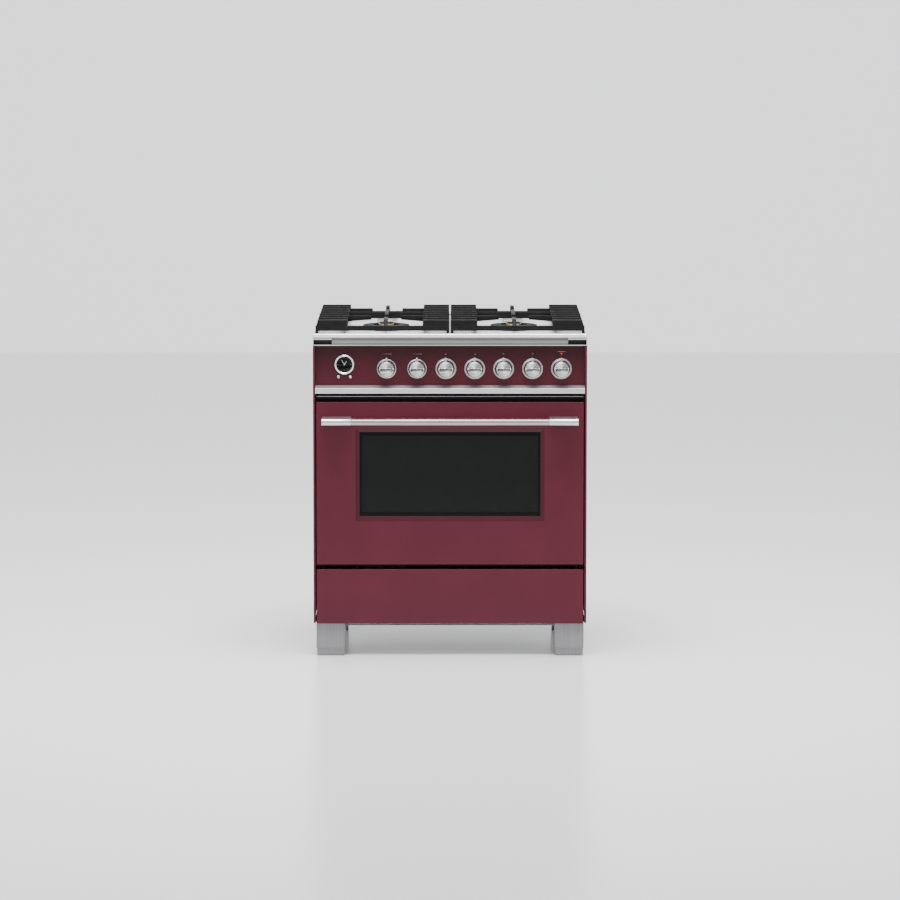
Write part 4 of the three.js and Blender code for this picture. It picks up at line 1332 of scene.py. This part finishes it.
def panSupports():
    g = {
        "inner": 2, "outer": 374, "front": 60, "back": 606, "base": 903, "low": 914, "top": 932.5,
        "innerRail": (62, 76), "outerRail": (286, 300), "bar": 8, "tip": 42,
        "burnerX": 179, "burners": (211, 474), "slant": 6, "railDrop": 4,
    }
    half = g["bar"] / 2
    parts = []

    def bar(x0, x1, y0, y1, z0, z1, edge=1.3, narrow=None):
        # a cast bar is a little thinner at its foot
        piece = slab((x0 * mm, frontY + y0 * mm, z0 * mm), (x1 * mm, frontY + y1 * mm, z1 * mm))
        if narrow:
            pickFaces(piece, lambda middle, normal: normal.z < -0.9)
            bpy.ops.transform.resize(
                value=(0.72, 1, 1) if narrow == "X" else (1, 0.72, 1),
                center_override=((x0 + x1) / 2 * mm, frontY + (y0 + y1) / 2 * mm, z0 * mm),
            )
            leaveEdit()
        parts.append(softenEdges(piece, edge * mm, 2))

    def finger(points, along, start, end):
        shift = frontY if along == "Y" else 0
        if along == "X":
            points = [(frontY + a * mm, b * mm) for a, b in points]
        else:
            points = [(a * mm, b * mm) for a, b in points]
        piece = outlineSolid(points, along, shift + start * mm, shift + end * mm)
        parts.append(softenEdges(piece, 1.3 * mm, 2))

    inner, outer, front, back = g["inner"], g["outer"], g["front"], g["back"]
    base, low, top = g["base"], g["low"], g["top"]
    innerEdge, outerEdge = g["innerRail"][1], g["outerRail"][0]

    def slanted(z):
        return outer - 0.3 - g["slant"] * (z - base) / (top - base)

    # no two flat faces of the casting share a plane where they overlap
    bar(inner, outer, front, front + g["bar"], base, low + 3)
    bar(inner, outer, back - g["bar"], back, base, low)
    bar(inner, inner + g["bar"], front + 0.3, back - 0.3, base + 0.2, low - 0.2)
    bar(outer - g["bar"], outer - 0.2, front + 0.3, back - 0.3, base + 0.2, low - 0.2)
    for x0, x1 in (g["innerRail"], g["outerRail"]):
        bar(x0, x1, front + 0.8, back - 0.8, base + 4, top - g["railDrop"], narrow="X")
    firstBar, lastBar = front + 24, back - half
    barY = [firstBar + (lastBar - firstBar) * i / 8 for i in range(9)]
    for index, y in enumerate([front + half, *barY]):
        y0, y1 = (front + 0.3, front + g["bar"] + 0.3) if index == 0 else (y - half, y + half - 0.3)
        foot = low - 1 if index == 0 else low - 4
        finger(
            [(inner + 0.3, foot), (innerEdge - 0.3, foot), (innerEdge - 0.3, top), (inner + 0.3, top)],
            "Y", y0, y1,
        )
        finger(
            [(outerEdge + 0.3, foot), (slanted(foot), foot), (slanted(top), top), (outerEdge + 0.3, top)],
            "Y", y0, y1,
        )
    left, right = innerEdge - 2, outerEdge + 2
    bar(left, right, barY[4] - half + 0.3, barY[4] + half - 0.6, low, top - 0.2, narrow="Y")
    for y in (barY[2], barY[6]):
        for root, tip in ((left, g["burnerX"] - g["tip"]), (right, g["burnerX"] + g["tip"])):
            outline = [(root, low + 2.5), (tip, top - 11), (tip, top - 0.2), (root, top - 0.2)]
            finger(outline, "Y", y - half + 0.3, y + half - 0.6)
    x0, x1 = g["burnerX"] - 5.5, g["burnerX"] + 5.5
    near, far = g["burners"][0] - g["tip"], g["burners"][1] + g["tip"]
    finger(
        [
            (front + 0.5, base + 0.4), (near, top - 9), (near, top), (front + 26, top),
            (front + 0.5, low + 0.3),
        ],
        "X", x0, x1,
    )
    finger(
        [(back - 0.5, base + 0.4), (far, top - 9), (far, top), (back - 26, top), (back - 0.5, low + 0.3)],
        "X", x0, x1,
    )
    bar(x0, x1, g["burners"][0] + g["tip"], g["burners"][1] - g["tip"], top - 10, top)
    for x in (inner + half, outer - half):
        for y in (front + half, (front + back) / 2, back - half):
            bar(x - 3.6, x + 3.6, y - 3.6, y + 3.6, 894.3, base + 1, 0.8)
    casting = joinPieces(parts)
    twin = mirroredCopy(casting)
    finishPiece(casting, "pan_support_right", "grate_right", castIron, ["grate_right"])
    finishPiece(twin, "pan_support_left", "grate_left", castIron, ["grate_left"])


panSupports()
print("pan supports ready")


# thin line in the vent over the door


def ventLine():
    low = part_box("front_frame")[0]
    strip = slab((-0.3705, low.y - 1.2 * mm, 0.7238), (0.3705, low.y + 1 * mm, 0.7254), 0.4 * mm)
    finishPiece(strip, "vent_line", "range_body", darkSteel)


ventLine()


# oven inside


def ovenInside():
    for level in ("lower", "upper"):
        name = "oven_rack_" + level
        low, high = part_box(name)
        wires = []

        def wire(a, b, radius):
            a, b = Vector(a), Vector(b)
            bpy.ops.mesh.primitive_cylinder_add(vertices=12, radius=radius, depth=(b - a).length)
            strand = bpy.context.object
            strand.rotation_mode = "QUATERNION"
            strand.rotation_quaternion = (b - a).to_track_quat("Z", "Y")
            strand.location = (a + b) / 2
            wires.append(softenEdges(bakePlace(strand), radius * 0.3, 2, 60))

        z = low.z + 3 * mm
        for x in (low.x + 3.5 * mm, high.x - 3.5 * mm):
            wire((x, low.y + 1 * mm, z), (x, high.y - 1 * mm, z), 3 * mm)
        for y in (low.y + 3 * mm, high.y - 3 * mm):
            wire((low.x + 1 * mm, y, z), (high.x - 1 * mm, y, z), 3 * mm)
        wire(
            (low.x + 1 * mm, high.y - 3 * mm, z + 10 * mm),
            (high.x - 1 * mm, high.y - 3 * mm, z + 10 * mm), 2.6 * mm,
        )
        for i in range(-11, 12):
            x = i * 24 * mm
            wire((x, low.y + 1 * mm, z + 1 * mm), (x, high.y - 3 * mm, z + 1 * mm), 1.5 * mm)
        for x in (low.x + 3.5 * mm, high.x - 3.5 * mm, 0):
            wire((x, high.y - 3 * mm, z), (x, high.y - 3 * mm, z + 10 * mm), 2 * mm)
        finishPiece(
            joinPieces(wires), name + "_wires", nodes[name]["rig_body"], chromeWire, [name],
        )
    low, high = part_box("door_gasket")
    dims = {"corner": 0.027, "inset": 0.004}
    midY = (low.y + high.y) / 2
    path = []
    c = dims["corner"]
    x0, x1 = low.x + dims["inset"], high.x - dims["inset"]
    z0, z1 = low.z + dims["inset"], high.z - dims["inset"]
    for cx, cz, start in (
        (x1 - c, z1 - c, 0), (x0 + c, z1 - c, 90), (x0 + c, z0 + c, 180), (x1 - c, z0 + c, 270),
    ):
        for step in range(7):
            angle = math.radians(start + step * 15)
            path.append((cx + c * math.cos(angle), midY, cz + c * math.sin(angle)))
    curve = bpy.data.curves.new("sealPath", "CURVE")
    curve.dimensions = "3D"
    spline = curve.splines.new("POLY")
    spline.points.add(len(path) - 1)
    for point, place in zip(spline.points, path):
        point.co = (*place, 1)
    spline.use_cyclic_u = True
    curve.bevel_depth = 2.6 * mm
    curve.bevel_resolution = 3
    seal = bpy.data.objects.new("sealRun", curve)
    bpy.context.scene.collection.objects.link(seal)
    activate(seal)
    bpy.ops.object.convert(target="MESH")
    finishPiece(bpy.context.object, "door_seal_rope", "range_body", rope, ["door_gasket"])


ovenInside()
print("oven inside ready")


# CAD nodes that stay as they are take a finished surface


def restyleNodes():
    plan = {"gas_manifold": alloy, "oven_gas_valve_stem": brass}
    plan.update({"burner_valve_stem_%d" % i: brass for i in (1, 2, 3, 4)})
    for name, surface in plan.items():
        nodes[name].data.materials.clear()
        nodes[name].data.materials.append(surface)


restyleNodes()


# floor, light and camera


def studio():
    look = {"floor": (0.84, 0.84, 0.845), "world": (0.93, 0.935, 0.94), "worldPower": 1.3}
    bpy.ops.mesh.primitive_plane_add(size=60, location=(0, 0, 0))
    floor = bpy.context.object
    floor.name = "studio_floor"
    material, shader, start = newSurface("floorPale", Roughness=0.24)
    shader.inputs["Base Color"].default_value = (*look["floor"], 1)
    floor.data.materials.append(material)
    bpy.ops.mesh.primitive_plane_add(size=60, location=(0, 9, 0), rotation=(math.pi / 2, 0, 0))
    wall = bpy.context.object
    wall.name = "studio_wall"
    backdrop, wallShader, start = newSurface("wallPale", Roughness=0.9)
    wallShader.inputs["Base Color"].default_value = (0.95, 0.955, 0.96, 1)
    wallShader.inputs["Emission Color"].default_value = (1, 1, 1, 1)
    wallShader.inputs["Emission Strength"].default_value = 0.4
    wall.data.materials.append(backdrop)
    world = bpy.data.worlds.new("softRoom")
    world.use_nodes = True
    sky = world.node_tree.nodes["Background"]
    sky.inputs["Color"].default_value = (*look["world"], 1)
    sky.inputs["Strength"].default_value = look["worldPower"]
    bpy.context.scene.world = world
    # name, place, aim, size, power
    lamps = (
        ("overhead", (0, -0.9, 4.0), (0, -0.1, 0.8), 2.2, 320),
        ("frontLeft", (-5.0, -6.5, 3.4), (0, 0, 0.5), 3.0, 40),
    )
    for name, place, aim, size, power in lamps:
        lamp = bpy.data.lights.new(name, "AREA")
        lamp.shape = "SQUARE"
        lamp.size = size
        lamp.energy = power
        holder = bpy.data.objects.new(name, lamp)
        bpy.context.scene.collection.objects.link(holder)
        holder.location = place
        holder.rotation_euler = (Vector(aim) - Vector(place)).to_track_quat("-Z", "Y").to_euler()


def camera():
    look = {"distance": 12.24, "height": 1.965, "lens": 177.8, "drop": 6.471}
    view = bpy.data.cameras.new("studioCamera")
    view.sensor_width = 36
    view.lens = look["lens"]
    view.clip_end = 200
    holder = bpy.data.objects.new("studioCamera", view)
    bpy.context.scene.collection.objects.link(holder)
    holder.location = (0, frontY - look["distance"], look["height"])
    holder.rotation_euler = (math.radians(90 - look["drop"]), 0, 0)
    bpy.context.scene.camera = holder


studio()
camera()
print("studio ready")
